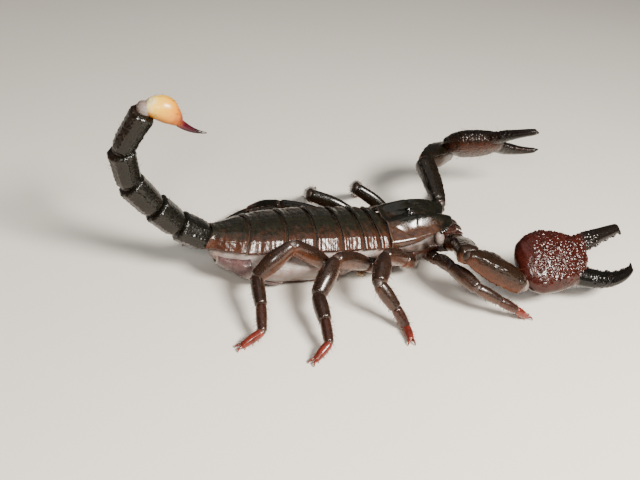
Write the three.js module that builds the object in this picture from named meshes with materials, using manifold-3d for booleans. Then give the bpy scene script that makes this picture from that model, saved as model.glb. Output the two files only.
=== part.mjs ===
// An emperor scorpion at rest on its eight feet, life size, in millimetres.
// +X points to the head, +Y to the animal's left, +Z up. Lengths are measured from the middle of
// the rear edge of the carapace, and the last lines move the origin under the middle of the animal.
import * as THREE from 'three';
import { mergeVertices } from 'three/addons/utils/BufferGeometryUtils.js';
import Module from 'manifold-3d';

const wasm = await Module();
wasm.setup();

// ---- driving dimensions ----------------------------------------------------------------------
const GAP = 0.3; // clear space left between neighbouring pieces
const CARAPACE_LENGTH = 20;
const TRUNK_LENGTH = 48; // from the carapace to the first tail segment
const TERGITE_LENGTHS = [3.2, 4.4, 5.7, 6.9, 7.6, 9.3, 9.9];
const PLATE_THICKNESS = 1.1;
const TAIL_LENGTHS = [8.8, 8.3, 9.7, 9.8, 12];
const TAIL_WIDTHS = [9, 8.5, 8, 7.4, 6.6];
const TAIL_HEIGHTS = [7.8, 7.6, 7.4, 7, 6];
const TAIL_LIFTS = [31, 45, 51, 79, 116]; // degrees above straight back
const TAIL_SWAYS = [0, 2, 4, 8, 12]; // degrees to the right
const TAIL_BASE_HEIGHT = 12.4;
const STING_DROP = 29; // degrees the sting points below straight ahead
const VESICLE_LENGTH = 9.6;
const ACULEUS_LENGTH = 6.9;
const PALP_LENGTHS = [5, 15.5, 17]; // trochanter, femur and patella
const PALM_LENGTH = 19;
const CHELA_LENGTH = 32.5;
const LEG_LENGTHS = [5, 14.5, 12, 9.3, 7, 6]; // trochanter, femur, patella, tibia and two tarsi
const LEG_SCALES = [0.75, 0.82, 0.9, 1]; // from the front pair to the last pair
const SOLE = 0.85; // height of a foot's middle line at its tip

// ---- colours ---------------------------------------------------------------------------------
const finish = (color, roughness) => new THREE.MeshStandardMaterial({ color, roughness, metalness: 0 });
const SHELL = finish(0x2a1a14, 0.25);
const LIMB = finish(0x3a1f14, 0.3);
const CLAW = finish(0x4a1712, 0.35);
const SKIN = finish(0x8d817c, 0.5);
const BULB = finish(0xd9a050, 0.3);
const STING = finish(0x2c0c0e, 0.25);
const EYE = finish(0x050505, 0.08);

// ---- shapes ----------------------------------------------------------------------------------
const rad = THREE.MathUtils.degToRad;
const V = (x, y, z) => new THREE.Vector3(x, y, z);

// A value that runs smoothly through given values at given places.
function through(places, values, x) {
  if (x <= places[0]) return values[0];
  const last = places.length - 1;
  if (x >= places[last]) return values[last];
  let i = 0;
  while (x > places[i + 1]) i += 1;
  const t = (x - places[i]) / (places[i + 1] - places[i]);
  return THREE.MathUtils.lerp(values[i], values[i + 1], t * t * (3 - 2 * t) * 0.5 + t * 0.5);
}

// Moves every vertex of a closed three.js geometry and returns it as a solid.
function shaped(geometry, move) {
  const places = geometry.attributes.position;
  const p = new THREE.Vector3();
  for (let i = 0; i < places.count; i += 1) {
    const q = move(p.fromBufferAttribute(places, i));
    places.setXYZ(i, q.x, q.y, q.z);
  }
  return solidOf(geometry);
}

function solidOf(geometry) {
  geometry.deleteAttribute('normal');
  geometry.deleteAttribute('uv');
  const merged = mergeVertices(geometry, 1e-4);
  const mesh = new wasm.Mesh({
    numProp: 3,
    vertProperties: new Float32Array(merged.attributes.position.array),
    triVerts: new Uint32Array(merged.index.array),
  });
  return new wasm.Manifold(mesh);
}

// A closed body swept through stations. Each has a middle, and half its size sideways and upwards.
function sweep(stations, around = 10, squareness = 1) {
  const rows = stations.length - 1;
  return shaped(new THREE.CylinderGeometry(1, 1, 1, around, rows, false), (p) => {
    const { at, side, up } = stations[Math.round((0.5 - p.y) * rows)];
    const angle = Math.atan2(p.x, p.z);
    const reach = Math.hypot(p.x, p.z);
    const bend = (value) => Math.sign(value) * Math.abs(value) ** squareness;
    const q = at.clone().addScaledVector(side, reach * bend(Math.sin(angle)));
    return q.addScaledVector(up, reach * bend(Math.cos(angle)));
  });
}

// A curved plate: u runs forward from 0 to 1, v across from -1 to 1, w from the inside 0 to the outside 1.
function plate(alongU, acrossV, place) {
  const block = new THREE.BoxGeometry(1, 1, 1, alongU, acrossV, 1);
  return shaped(block, (p) => place(p.x + 0.5, p.y * 2, p.z + 0.5));
}

function heading(headingDegrees, liftDegrees, side) {
  const h = rad(headingDegrees);
  const l = rad(liftDegrees);
  return V(Math.cos(h) * Math.cos(l), side * Math.sin(h) * Math.cos(l), Math.sin(l));
}

// The sideways and upward directions of a straight piece, turned by roll degrees about it.
function frameOf(along, roll = 0) {
  const side = V(0, 0, 1).cross(along);
  if (side.length() < 0.05) side.set(0, 1, 0);
  side.normalize().applyAxisAngle(along, rad(roll));
  return { side, up: along.clone().cross(side) };
}

// A straight article, round-ended, with its width and height given at the start, middle and end.
const ARTICLE_STEPS = [0, 0.14, 0.5, 0.86, 1];
const ARTICLE_ENDS = [0.6, 0.95, 1, 0.95, 0.6];

function article(from, to, widths, heights, grow = 0, options = {}) {
  const { around = 6, squareness = 0.85 } = options;
  const along = to.clone().sub(from).normalize();
  const { side, up } = frameOf(along);
  const start = from.clone().addScaledVector(along, -grow);
  const end = to.clone().addScaledVector(along, grow);
  const stations = ARTICLE_STEPS.map((t, i) => {
    const size = (list) => (through([0, 0.5, 1], list, t) / 2) * ARTICLE_ENDS[i] + grow;
    return {
      at: start.clone().lerp(end, t),
      side: side.clone().multiplyScalar(size(widths)),
      up: up.clone().multiplyScalar(size(heights)),
    };
  });
  return sweep(stations, around, squareness);
}

// Two articles of a leg in one body, bent and narrowed where they meet.
const LIMB_STEPS = [0, 0.2, 0.75];
const LIMB_ENDS = [0.68, 1, 1];

function bentLimb(places, widths, heights, grow = 0) {
  const ways = [0, 1].map((i) => places[i + 1].clone().sub(places[i]).normalize());
  const stations = [];
  const station = (at, way, width, height) => {
    const { side, up } = frameOf(way);
    side.multiplyScalar(width / 2 + grow);
    up.multiplyScalar(height / 2 + grow);
    stations.push({ at, side, up });
  };
  for (const part of [0, 1]) {
    LIMB_STEPS.forEach((t, i) => {
      const bisecting = part === 1 && i === 0;
      const way = bisecting ? ways[0].clone().add(ways[1]).normalize() : ways[part];
      const shift = part === 0 && i === 0 ? -grow : 0;
      const at = places[part].clone().lerp(places[part + 1], t).addScaledVector(way, shift);
      const size = (lists) => through([0, 0.5, 1], lists[part], t) * LIMB_ENDS[i];
      station(at, way, size(widths), size(heights));
    });
  }
  const tip = places[2].clone().addScaledVector(ways[1], grow);
  station(tip, ways[1], widths[1][2] * LIMB_ENDS[0], heights[1][2] * LIMB_ENDS[0]);
  return sweep(stations, 6, 0.85);
}

// A tapering hook that curves through three points.
function hook(from, middle, to, thickness, tip, grow = 0, around = 6, steps = 4) {
  const curve = new THREE.QuadraticBezierCurve3(from, middle, to);
  const stations = [];
  for (let i = 0; i <= steps; i += 1) {
    const t = i / steps;
    const { side, up } = frameOf(curve.getTangent(t));
    const r = THREE.MathUtils.lerp(thickness, tip, t) / 2 + grow;
    stations.push({ at: curve.getPoint(t), side: side.multiplyScalar(r), up: up.multiplyScalar(r) });
  }
  return sweep(stations, around);
}

function ball(at, radius, around = 10, rows = 6) {
  return shaped(new THREE.SphereGeometry(radius, around, rows), (p) => p.clone().add(at));
}

const joined = (solids) => solids.reduce((all, next) => all.add(next));

// ---- the trunk -------------------------------------------------------------------------------
const TRUNK_STATIONS = [-TRUNK_LENGTH, -43.5, -39, -32, -22, -10, 0];
const halfWidth = (x) => through(TRUNK_STATIONS, [4.5, 6.8, 8.9, 10.4, 10.9, 10.6, 10.2], x);
const crownHeight = (x) => through(TRUNK_STATIONS, [15.6, 15.8, 16.1, 16.6, 16.7, 16, 15.2], x);
const waistHeight = (x) => through(TRUNK_STATIONS, [11.3, 11.2, 11.4, 11.6, 11.5, 10.9, 10.3], x);
const bellyHalfWidth = (x) => through(TRUNK_STATIONS, [4.7, 7.6, 10.3, 12.5, 13, 11.9, 9.6], x);
const BELLY_STATIONS = [-TRUNK_LENGTH, -43.5, -38, -31, -18, -12, 0];
const bellyHeight = (x) => through(BELLY_STATIONS, [8.2, 5.4, 2.6, 0.9, 0.8, 3.2, 3.2], x);

// A point on the trunk's upper side, at an angle from the top, sunk below the surface.
function backPoint(x, angle, sunk) {
  const w = halfWidth(x) - sunk;
  const h = crownHeight(x) - sunk - waistHeight(x);
  return V(x, w * Math.sin(angle), waistHeight(x) + h * Math.cos(angle) ** 0.9);
}

function tergite(front, rear, grow = 0) {
  const reach = rad(88);
  return plate(1, 10, (u, v, w) => {
    const x = THREE.MathUtils.lerp(rear - grow, front + grow, u);
    return backPoint(x, v * reach, w ? -grow : PLATE_THICKNESS + grow);
  });
}

// The soft body under the plates: it swells out below their edges and turns under.
function bodyPoint(x, angle) {
  const sunk = PLATE_THICKNESS + GAP;
  const middle = waistHeight(x);
  const rise = Math.cos(angle);
  if (rise >= 0) {
    const top = middle + (crownHeight(x) - sunk - middle) * rise ** 0.9;
    return V(x, (halfWidth(x) - sunk) * Math.sin(angle), top);
  }
  const swell = THREE.MathUtils.smoothstep(-rise, 0, 0.4);
  const half = THREE.MathUtils.lerp(halfWidth(x) - sunk, bellyHalfWidth(x), swell);
  const across = Math.sign(angle) * half * Math.abs(Math.sin(angle)) ** 0.55;
  return V(x, across, middle - (middle - bellyHeight(x)) * (-rise) ** 0.95);
}

function belly() {
  return shaped(new THREE.CylinderGeometry(1, 1, 1, 16, 8, false), (p) => {
    const x = THREE.MathUtils.lerp(-TRUNK_LENGTH + GAP, -GAP, 0.5 - p.y);
    const core = V(x, 0, waistHeight(x));
    return core.lerp(bodyPoint(x, Math.atan2(p.x, p.z)), Math.hypot(p.x, p.z));
  });
}

// ---- the carapace and the eyes ---------------------------------------------------------------
const carapaceHalf = (u) => through([0, 0.35, 0.6, 0.8, 0.92, 1], [10.3, 10.1, 9.1, 7.8, 6.9, 5.8], u);
const carapaceCrown = (u) => through([0, 0.42, 0.7, 1], [15.1, 15.4, 15.3, 14.6], u);
const carapaceEdge = (u) => through([0, 0.2, 0.4, 0.6, 0.8, 1], [9.6, 10, 10.8, 11.9, 12.8, 13], u);

const EYE_PLACE = 0.42; // how far forward the middle eyes sit, of the carapace's length

function carapacePoint(u, v, w, grow = 0) {
  const notch = 1.3 * Math.exp(-((v / 0.3) ** 2)) + 0.9 * v ** 4;
  const x = THREE.MathUtils.lerp(-grow, CARAPACE_LENGTH - notch + grow, u);
  const dome = Math.max(0, 1 - Math.abs(v) ** 2.4) ** 0.75;
  const furrow = 0.5 * Math.exp(-((v / 0.07) ** 2)) * Math.sin(Math.PI * Math.min(1, u * 1.02));
  const tubercle = 0.9 * Math.exp(-(((u - EYE_PLACE) / 0.08) ** 2) - (v / 0.13) ** 2);
  const swelling = 2.1 * Math.exp(-(((Math.abs(v) - 0.44) / 0.22) ** 2)) * Math.sin(Math.PI * Math.min(1, 0.1 + 0.75 * u));
  const top = carapaceEdge(u) + 0.9 + (carapaceCrown(u) - carapaceEdge(u) - 0.9) * dome - furrow + tubercle + swelling;
  const inside = carapaceEdge(u) + Math.max(0, (carapaceCrown(u) - carapaceEdge(u) - 1.6) * dome);
  return V(x, (carapaceHalf(u) + grow) * v, w ? top + grow : inside - grow);
}

const carapace = (grow = 0) => plate(7, 12, (u, v, w) => carapacePoint(u, v, w, grow));

const EYE_RADIUS = 0.8;
const medianEyePlace = (side) => V(EYE_PLACE * CARAPACE_LENGTH, side * 1.05, 15.9);
const medianEye = (side, grow = 0) => ball(medianEyePlace(side), EYE_RADIUS + grow, 6, 4);

const SIDE_EYES = [V(15.2, 7.9, 13.2), V(15.95, 7.5, 13.3), V(16.7, 7.1, 13.35)];
const sideEyePlaces = (side) => SIDE_EYES.map((at) => at.clone().multiply(V(1, side, 1)));
const lateralEyes = (side) => joined(sideEyePlaces(side).map((at) => ball(at, 0.46, 6, 4)));

// The hollow in the carapace's rim that holds the three side eyes.
function sideEyeRoom(side) {
  const [first, middle, last] = sideEyePlaces(side);
  const reach = last.clone().sub(first).normalize();
  const from = first.addScaledVector(reach, -0.8);
  const to = last.addScaledVector(reach, 0.8);
  return hook(from, middle, to, 1.6, 1.6, 0, 4, 1);
}

// ---- jaws ------------------------------------------------------------------------------------
function chelicera(side, grow = 0) {
  const at = (forward, aside, z) => V(forward, side * aside, z);
  const palm = article(at(13.6, 2.35, 10.6), at(22.2, 2.45, 10.3), [3.4, 3.9, 3.2], [3.6, 4.2, 3.4], grow);
  const fixed = hook(at(21, 1.5, 10.9), at(23.6, 1.2, 10.9), at(24.6, 1.5, 9.3), 1.9, 0.7, grow, 5, 2);
  const moving = hook(at(21, 3.1, 9.9), at(23.8, 3.6, 9.7), at(24.6, 2.5, 8.6), 1.8, 0.7, grow, 5, 2);
  return joined([palm, fixed, moving]);
}

// ---- legs ------------------------------------------------------------------------------------
// Headings are degrees outwards from straight ahead, and lifts are degrees above the level.
const LEG_HIPS = [V(13.6, 7.8, 5.5), V(6.2, 9.7, 5.7), V(-3.4, 10, 5.7), V(-14, 9.9, 5.7)];
const LEG_POSES = {
  right: [
    { headings: [96, 94, 61, 20, 19, 0], lifts: [21, 21, -12, -26, -26] },
    { headings: [146, 144, 118, 38, 43, 98], lifts: [32, 29, -14, -47, -52] },
    { headings: [157, 156, 132, 93, 95, 148], lifts: [24, 24, -30, -11, -23] },
    { headings: [150, 170, 172, 95, 99, 168], lifts: [28, 37, -40, -13, -28] },
  ],
  left: [
    { headings: [40, 36, 62, 66, 68, 66], lifts: [4, 5, -14, -13, -13] },
    { headings: [62, 156, 68, 68, 66, 60], lifts: [55, 32, -28, -30, -35] },
    { headings: [95, 158, 71, 71, 70, 68], lifts: [55, 18, -29, -28, -29] },
    { headings: [35, 152, 133, 206, 206, 198], lifts: [36, 4, -30, -8, -7] },
  ],
};
// Each article's width and height at its start, middle and end.
const LEG_WIDTHS = [
  [4, 3.6, 3.2],
  [2.9, 3.2, 3],
  [3.3, 4.6, 3.6],
  [3.3, 3.5, 3],
  [3, 2.9, 2.4],
  [2.4, 2.4, 1.8],
];
const LEG_HEIGHTS = [
  [4, 4, 3.6],
  [3.8, 4.8, 4.2],
  [4.2, 5.4, 4.1],
  [3.6, 3.7, 3],
  [3.1, 3, 2.5],
  [2.4, 2.3, 1.6],
];
// The right legs are the stouter ones. No foot is drawn thicker than the widths above.
const LEG_THICKNESSES = { right: [0.94, 1.1, 1.16, 1.06], left: [0.84, 0.9, 0.95, 1] };

function legJoints(index, sideName) {
  const side = sideName === 'left' ? 1 : -1;
  const { headings, lifts } = LEG_POSES[sideName][index];
  const joints = [LEG_HIPS[index].clone().multiply(V(1, side, 1))];
  LEG_LENGTHS.forEach((length, i) => {
    const reach = length * LEG_SCALES[index];
    const from = joints[i];
    const lift = i < lifts.length ? lifts[i] : THREE.MathUtils.radToDeg(Math.asin((SOLE - from.z) / reach));
    joints.push(from.clone().addScaledVector(heading(headings[i], lift, side), reach));
  });
  return joints;
}

function legPart(index, joints, first, grow) {
  const stoutness = LEG_THICKNESSES[joints[0].y > 0 ? 'left' : 'right'][index];
  const scale = first < 4 ? stoutness : Math.min(1, stoutness);
  const scaled = (lists) => [0, 1].map((i) => lists[first + i].map((size) => size * scale));
  return bentLimb(joints.slice(first, first + 3), scaled(LEG_WIDTHS), scaled(LEG_HEIGHTS), grow);
}

function claws(joints, grow) {
  const along = joints[6].clone().sub(joints[5]).setZ(0).normalize();
  const across = V(-along.y, along.x, 0);
  return [-1, 1].map((hand) => {
    const place = (forward, aside, z) => {
      const at = joints[6].clone().addScaledVector(along, forward);
      return at.addScaledVector(across, aside * hand).setZ(z);
    };
    return hook(place(-0.7, 0.3, 0.85), place(0.9, 0.7, 1.1), place(1.3, 0.95, 0.05), 0.9, 0.9, grow, 4, 1);
  });
}

const legUpper = (index, joints, grow = 0) => legPart(index, joints, 0, grow);
const legMiddle = (index, joints, grow = 0) => legPart(index, joints, 2, grow);

// The foot is cut level under its claws, which makes the small flats it stands on.
function legFoot(index, joints, grow = 0) {
  const foot = joined([legPart(index, joints, 4, grow), ...claws(joints, grow)]);
  return foot.trimByPlane([0, 0, 1], 0);
}

// ---- coxae, breastplate and combs ------------------------------------------------------------
const PALP_BASE = V(18, 7.7, 9.4);

function coxosternum(grow = 0) {
  const core = sweep([
    { at: V(-1.5, 0, 5.6), side: V(0, 3.4 + grow, 0), up: V(0, 0, 2.2 + grow) },
    { at: V(2, 0, 6.6), side: V(0, 7 + grow, 0), up: V(0, 0, 3.3 + grow) },
    { at: V(9, 0, 7.2), side: V(0, 8.2 + grow, 0), up: V(0, 0, 3.9 + grow) },
    { at: V(15, 0, 7.2), side: V(0, 6.8 + grow, 0), up: V(0, 0, 3.4 + grow) },
    { at: V(19, 0, 6.6), side: V(0, 3.6 + grow, 0), up: V(0, 0, 1.6 + grow) },
  ], 8, 0.7);
  const coxae = [];
  for (const side of [-1, 1]) {
    LEG_HIPS.forEach((hip, i) => {
      const root = V(11 - 3 * i, side * 2.2, 5.3);
      const end = hip.clone().multiply(V(1, side, 1));
      coxae.push(hook(root, root.clone().lerp(end, 0.5), end, 3.4, 4, grow, 5, 1));
    });
    const end = PALP_BASE.clone().multiply(V(1, side, 1));
    coxae.push(hook(V(9, side * 5, 7.6), V(13.5, side * 6.5, 8.5), end, 5.2, 4.8, grow, 5, 1));
  }
  return joined([core, ...coxae]);
}

const COMB_TEETH = 10;
const COMB_LENGTH = 9.5;

// A comb of fine teeth beneath the second trunk ring, in a node with its teeth.
function pecten(side) {
  const outline = new THREE.Shape();
  outline.moveTo(0, 0);
  outline.lineTo(0, 1.5);
  outline.lineTo(COMB_LENGTH, 1);
  outline.lineTo(COMB_LENGTH, 0);
  const pitch = COMB_LENGTH / COMB_TEETH;
  for (let i = COMB_TEETH - 1; i >= 0; i -= 1) {
    const middle = (i + 0.5) * pitch;
    const reach = 1.7 - 0.5 * (i / COMB_TEETH);
    outline.lineTo(middle + 0.3 * pitch, -0.1);
    outline.lineTo(middle + 0.24 * pitch, -reach);
    outline.lineTo(middle - 0.24 * pitch, -reach);
    outline.lineTo(middle - 0.3 * pitch, -0.1);
  }
  const comb = new THREE.ExtrudeGeometry(outline, { depth: 0.7, bevelEnabled: false });
  const turn = rad(118);
  return shaped(comb, (p) => {
    const x = -3.4 + p.x * Math.cos(turn) + p.y * Math.sin(turn);
    const y = 1 + p.x * Math.sin(turn) - p.y * Math.cos(turn);
    return V(x, side * y, side > 0 ? 2.85 - p.z : 2.15 + p.z);
  });
}

// ---- tail ------------------------------------------------------------------------------------
function tailJoints() {
  const joints = [V(-TRUNK_LENGTH, 0, TAIL_BASE_HEIGHT)];
  TAIL_LENGTHS.forEach((length, i) => {
    const sway = rad(TAIL_SWAYS[i]);
    const lift = rad(TAIL_LIFTS[i]);
    const step = V(-Math.cos(sway) * Math.cos(lift), -Math.sin(sway), Math.cos(sway) * Math.sin(lift));
    joints.push(joints[i].clone().addScaledVector(step, length));
  });
  return joints;
}

const TAIL = tailJoints();

// The tail bends in an upright plane, so its sides stay level.
function tailFrame(along) {
  const side = V(0, -1, 0).addScaledVector(along, along.y).normalize();
  return { side, up: along.clone().cross(side) };
}

function tailSegment(i, grow = 0) {
  const along = TAIL[i + 1].clone().sub(TAIL[i]).normalize();
  const { side, up } = tailFrame(along);
  const steps = [0, 0.1, 0.5, 0.9, 1];
  const ends = [0.74, 0.95, 1, 1, 0.78];
  const stations = steps.map((t, k) => {
    const reach = THREE.MathUtils.lerp(-grow, TAIL_LENGTHS[i] + grow, t);
    return {
      at: TAIL[i].clone().addScaledVector(along, reach),
      side: side.clone().multiplyScalar((TAIL_WIDTHS[i] / 2) * ends[k] + grow),
      up: up.clone().multiplyScalar((TAIL_HEIGHTS[i] / 2) * ends[k] + grow),
    };
  });
  return sweep(stations, 8, 0.8);
}

const STING_WAY = V(Math.cos(rad(STING_DROP)), -0.08, -Math.sin(rad(STING_DROP))).normalize();
const BULB_START = TAIL[5].clone().add(V(0.1, -0.1, 2));

function bulbStations(steps, sizes, grow) {
  const { side, up } = tailFrame(STING_WAY);
  return steps.map((t, i) => {
    const middle = BULB_START.clone().addScaledVector(STING_WAY, VESICLE_LENGTH * t);
    return {
      at: middle.addScaledVector(up, -1.1 * Math.sin(Math.PI * t)),
      side: side.clone().multiplyScalar((sizes[i] / 2) * 0.95 + grow),
      up: up.clone().multiplyScalar(sizes[i] / 2 + grow),
    };
  });
}

const BULB_STEPS = [0, 0.12, 0.33, 0.6, 0.85, 1];
const BULB_SIZES = [2.6, 4.8, 6.2, 6.1, 3.9, 2];
const vesicle = (grow = 0) => sweep(bulbStations(BULB_STEPS, BULB_SIZES, grow), 10);

function aculeus(grow = 0) {
  const { up } = tailFrame(STING_WAY);
  const from = BULB_START.clone().addScaledVector(STING_WAY, VESICLE_LENGTH - 0.4).addScaledVector(up, 0.25);
  const middle = from.clone().addScaledVector(STING_WAY, ACULEUS_LENGTH * 0.55).addScaledVector(up, 0.7);
  const to = from.clone().addScaledVector(STING_WAY, ACULEUS_LENGTH).addScaledVector(up, -0.8);
  return hook(from, middle, to, 2.1, 0.55, grow, 6, 5);
}

// ---- pedipalps -------------------------------------------------------------------------------
const PALP_POSES = {
  right: {
    headings: [80, 107.6, 16], lifts: [34, 17.8, -26.9], chela: [-5, 6], size: 1, roll: 42, gape: 0, bow: 5.6, tip: 6.2,
  },
  left: {
    headings: [12, 92, 39.6], lifts: [40, 27, -7.5], chela: [-41, 22.5], size: 0.9, roll: 34, gape: 44, bow: 7.6, tip: 6.2,
  },
};

function palpJoints(sideName) {
  const side = sideName === 'left' ? 1 : -1;
  const { headings, lifts, chela, size, roll, gape, bow, tip } = PALP_POSES[sideName];
  const joints = [PALP_BASE.clone().multiply(V(1, side, 1))];
  PALP_LENGTHS.forEach((length, i) => {
    joints.push(joints[i].clone().addScaledVector(heading(headings[i], lifts[i], side), length));
  });
  const along = heading(chela[0], chela[1], side);
  // The hand's inner edge is turned up, by roll degrees from level.
  const level = V(0, 0, 1).cross(along).normalize().multiplyScalar(-side);
  const inner = level.applyAxisAngle(along, rad(roll) * -side);
  return { joints, along, inner, size, gape, bow, tip, back: inner.clone().cross(along).multiplyScalar(side) };
}

const HAND_STEPS = [-0.9, -0.4, 1.2, 4, 8, 12, 15.5, 18, PALM_LENGTH];
const HAND_INNER = [4.2, 6.6, 8.9, 10.2, 10.7, 9.6, 7.9, 6.3, 5.4];
const HAND_OUTER = [-0.8, -2.7, -4.7, -6.1, -6.4, -6.2, -5.4, -2.6, -0.4];
const HAND_THICK = [1.8, 3.6, 5.8, 7.4, 7.9, 7.4, 6.4, 5.2, 4.2];

// The palm sits a little ahead of its wrist, and inwards of it.
const HAND_ROOT = { forward: 1.5, inward: 2.2 };

function handPlace(palp, forward, inward, backward = 0) {
  const at = palp.joints[3].clone().addScaledVector(palp.along, (HAND_ROOT.forward + forward) * palp.size);
  return at.addScaledVector(palp.inner, (HAND_ROOT.inward + inward) * palp.size)
    .addScaledVector(palp.back, backward * palp.size);
}

function hand(palp, mirror, grow = 0) {
  const stations = HAND_STEPS.map((a, i) => {
    const half = ((HAND_INNER[i] - HAND_OUTER[i]) / 2) * palp.size + grow;
    return {
      at: handPlace(palp, a, (HAND_INNER[i] + HAND_OUTER[i]) / 2),
      side: palp.inner.clone().multiplyScalar(half * -mirror),
      up: palp.back.clone().multiplyScalar((HAND_THICK[i] / 2) * palp.size + grow),
    };
  });
  const palm = sweep(stations, 12, 0.9);
  const knuckle = handPlace(palp, 15.5, 4);
  const tip = handPlace(palp, CHELA_LENGTH, palp.tip);
  const finger = hook(knuckle, handPlace(palp, 25, palp.bow), tip, 5.4 * palp.size, 2.4 * palp.size, grow, 7, 5);
  return joined([palm, finger]);
}

// The moving finger hangs on the hand's outer front corner and swings open by the gape.
const FINGER_JOINT = { forward: 14.6, inward: -2.9 };

function movingFinger(palp, grow = 0) {
  const open = rad(palp.gape);
  const place = (reach, inward) => handPlace(
    palp,
    FINGER_JOINT.forward + reach * Math.cos(open) + inward * Math.sin(open),
    FINGER_JOINT.inward + inward * Math.cos(open) - reach * Math.sin(open),
  );
  return hook(place(0, 0), place(11, -6.6), place(CHELA_LENGTH - 15.2, -2.1), 5 * palp.size, 2.2 * palp.size, grow, 7, 5);
}

const PALP_SIZES = [
  { widths: [4.6, 5.2, 4.6], heights: [4.6, 5.2, 4.6], options: {} },
  { widths: [4.4, 5.6, 6], heights: [4.2, 5, 5.4], options: { around: 8, squareness: 0.75 } },
  { widths: [5, 7.6, 5.6], heights: [5, 6.8, 5.4], options: { around: 8, squareness: 0.8 } },
];

// The trochanter, femur or patella of a pedipalp.
function palpArticle(palp, i, grow = 0) {
  const { widths, heights, options } = PALP_SIZES[i];
  return article(palp.joints[i], palp.joints[i + 1], widths, heights, grow, options);
}

// ---- the whole animal ------------------------------------------------------------------------
const scorpion = new THREE.Group();

// Adds one named piece, cut back from its neighbours where they meet.
function add(name, solid, material, neighbours = []) {
  let piece = solid;
  for (const neighbour of neighbours) piece = piece.subtract(neighbour);
  const bodies = piece.decompose().sort((a, b) => b.volume() - a.volume());
  const { vertProperties, triVerts } = bodies[0].getMesh();
  const geometry = new THREE.BufferGeometry();
  geometry.setAttribute('position', new THREE.BufferAttribute(new Float32Array(vertProperties), 3));
  geometry.setIndex(new THREE.BufferAttribute(new Uint32Array(triVerts), 1));
  geometry.computeVertexNormals();
  const mesh = new THREE.Mesh(geometry, material);
  mesh.name = name;
  scorpion.add(mesh);
}

const SIDES = [['right', -1], ['left', 1]];
const bothSides = (make) => SIDES.flatMap(([name, side]) => make(name, side));

add('carapace', carapace(), SHELL, bothSides((name, side) => [medianEye(side, GAP), sideEyeRoom(side)]));
let edge = 0;
TERGITE_LENGTHS.forEach((length, i) => {
  add(`tergite_${i + 1}`, tergite(edge - GAP, edge - length), SHELL, i === 6 ? [tailSegment(0, GAP)] : []);
  edge -= length;
});

const coxaRoom = coxosternum(GAP);
const carapaceRoom = joined([carapace(GAP), carapace().translate([0, 0, -GAP])]);
const upperLegRooms = bothSides((name) => [0, 1, 2, 3].map((i) => legUpper(i, legJoints(i, name), GAP)));
const jawRooms = bothSides((name, side) => [chelicera(side, GAP), palpArticle(palpJoints(name), 0, GAP)]);
add('belly', belly(), SKIN, [coxaRoom, tailSegment(0, GAP), ...upperLegRooms]);
add('coxosternum', coxosternum(), LIMB, [carapaceRoom, ...jawRooms, ...upperLegRooms]);

for (const [name, side] of SIDES) {
  add(`eye_median_${name}`, medianEye(side), EYE);
  add(`eyes_lateral_${name}`, lateralEyes(side), EYE);
  add(`chelicera_${name}`, chelicera(side), LIMB, [carapaceRoom]);
  add(`pecten_${name}`, pecten(side), SKIN, [coxaRoom]);

  const palp = palpJoints(name);
  add(`palp_${name}_trochanter`, palpArticle(palp, 0), LIMB, [palpArticle(palp, 1, GAP), carapaceRoom]);
  add(`palp_${name}_femur`, palpArticle(palp, 1), LIMB, [palpArticle(palp, 2, GAP)]);
  add(`palp_${name}_patella`, palpArticle(palp, 2), LIMB, [hand(palp, side, GAP)]);
  add(`palp_${name}_hand`, hand(palp, side), CLAW, [movingFinger(palp, GAP)]);
  add(`palp_${name}_finger`, movingFinger(palp), SHELL);

  for (let i = 0; i < 4; i += 1) {
    const joints = legJoints(i, name);
    const leg = `leg_${i + 1}_${name}`;
    add(`${leg}_upper`, legUpper(i, joints), LIMB, [legMiddle(i, joints, GAP)]);
    add(`${leg}_middle`, legMiddle(i, joints), LIMB, [legFoot(i, joints, GAP)]);
    add(`${leg}_foot`, legFoot(i, joints), CLAW);
  }
}

for (let i = 0; i < 5; i += 1) {
  add(`tail_${i + 1}`, tailSegment(i), SHELL, [i < 4 ? tailSegment(i + 1, GAP) : vesicle(GAP)]);
}
add('vesicle', vesicle(), BULB, [aculeus(GAP)]);
add('aculeus', aculeus(), STING);

// The origin lies under the middle of the whole animal, at the level of its soles.
const box = new THREE.Box3().setFromObject(scorpion);
const middle = box.getCenter(new THREE.Vector3());
for (const mesh of scorpion.children) mesh.geometry.translate(-middle.x, -middle.y, -box.min.z);

export default scorpion;
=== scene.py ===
import random
from math import asin, atan2, copysign, cos, degrees, exp, pi, radians as rad, sin
import bpy
from mathutils import Matrix, Vector


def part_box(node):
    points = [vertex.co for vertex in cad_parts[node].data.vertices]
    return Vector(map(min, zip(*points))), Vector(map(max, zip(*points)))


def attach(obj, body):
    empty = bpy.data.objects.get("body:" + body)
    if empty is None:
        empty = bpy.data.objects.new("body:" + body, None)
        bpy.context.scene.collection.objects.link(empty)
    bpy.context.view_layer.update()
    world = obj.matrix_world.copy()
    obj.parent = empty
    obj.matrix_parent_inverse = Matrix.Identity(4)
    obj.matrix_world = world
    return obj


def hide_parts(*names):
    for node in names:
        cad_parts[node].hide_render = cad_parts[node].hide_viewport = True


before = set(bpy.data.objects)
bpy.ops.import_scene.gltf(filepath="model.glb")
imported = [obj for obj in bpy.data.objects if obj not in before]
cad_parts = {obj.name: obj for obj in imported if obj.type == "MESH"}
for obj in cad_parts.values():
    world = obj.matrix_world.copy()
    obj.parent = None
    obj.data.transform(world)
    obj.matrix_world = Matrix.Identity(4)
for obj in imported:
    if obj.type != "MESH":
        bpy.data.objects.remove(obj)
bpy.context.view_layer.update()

carapace_low, carapace_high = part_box("carapace")
MM = 0.001
ANIMAL = Matrix.Translation((carapace_low.x, (carapace_low.y + carapace_high.y) / 2, 0))
ANIMAL = ANIMAL @ Matrix.Scale(MM, 4)


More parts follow.
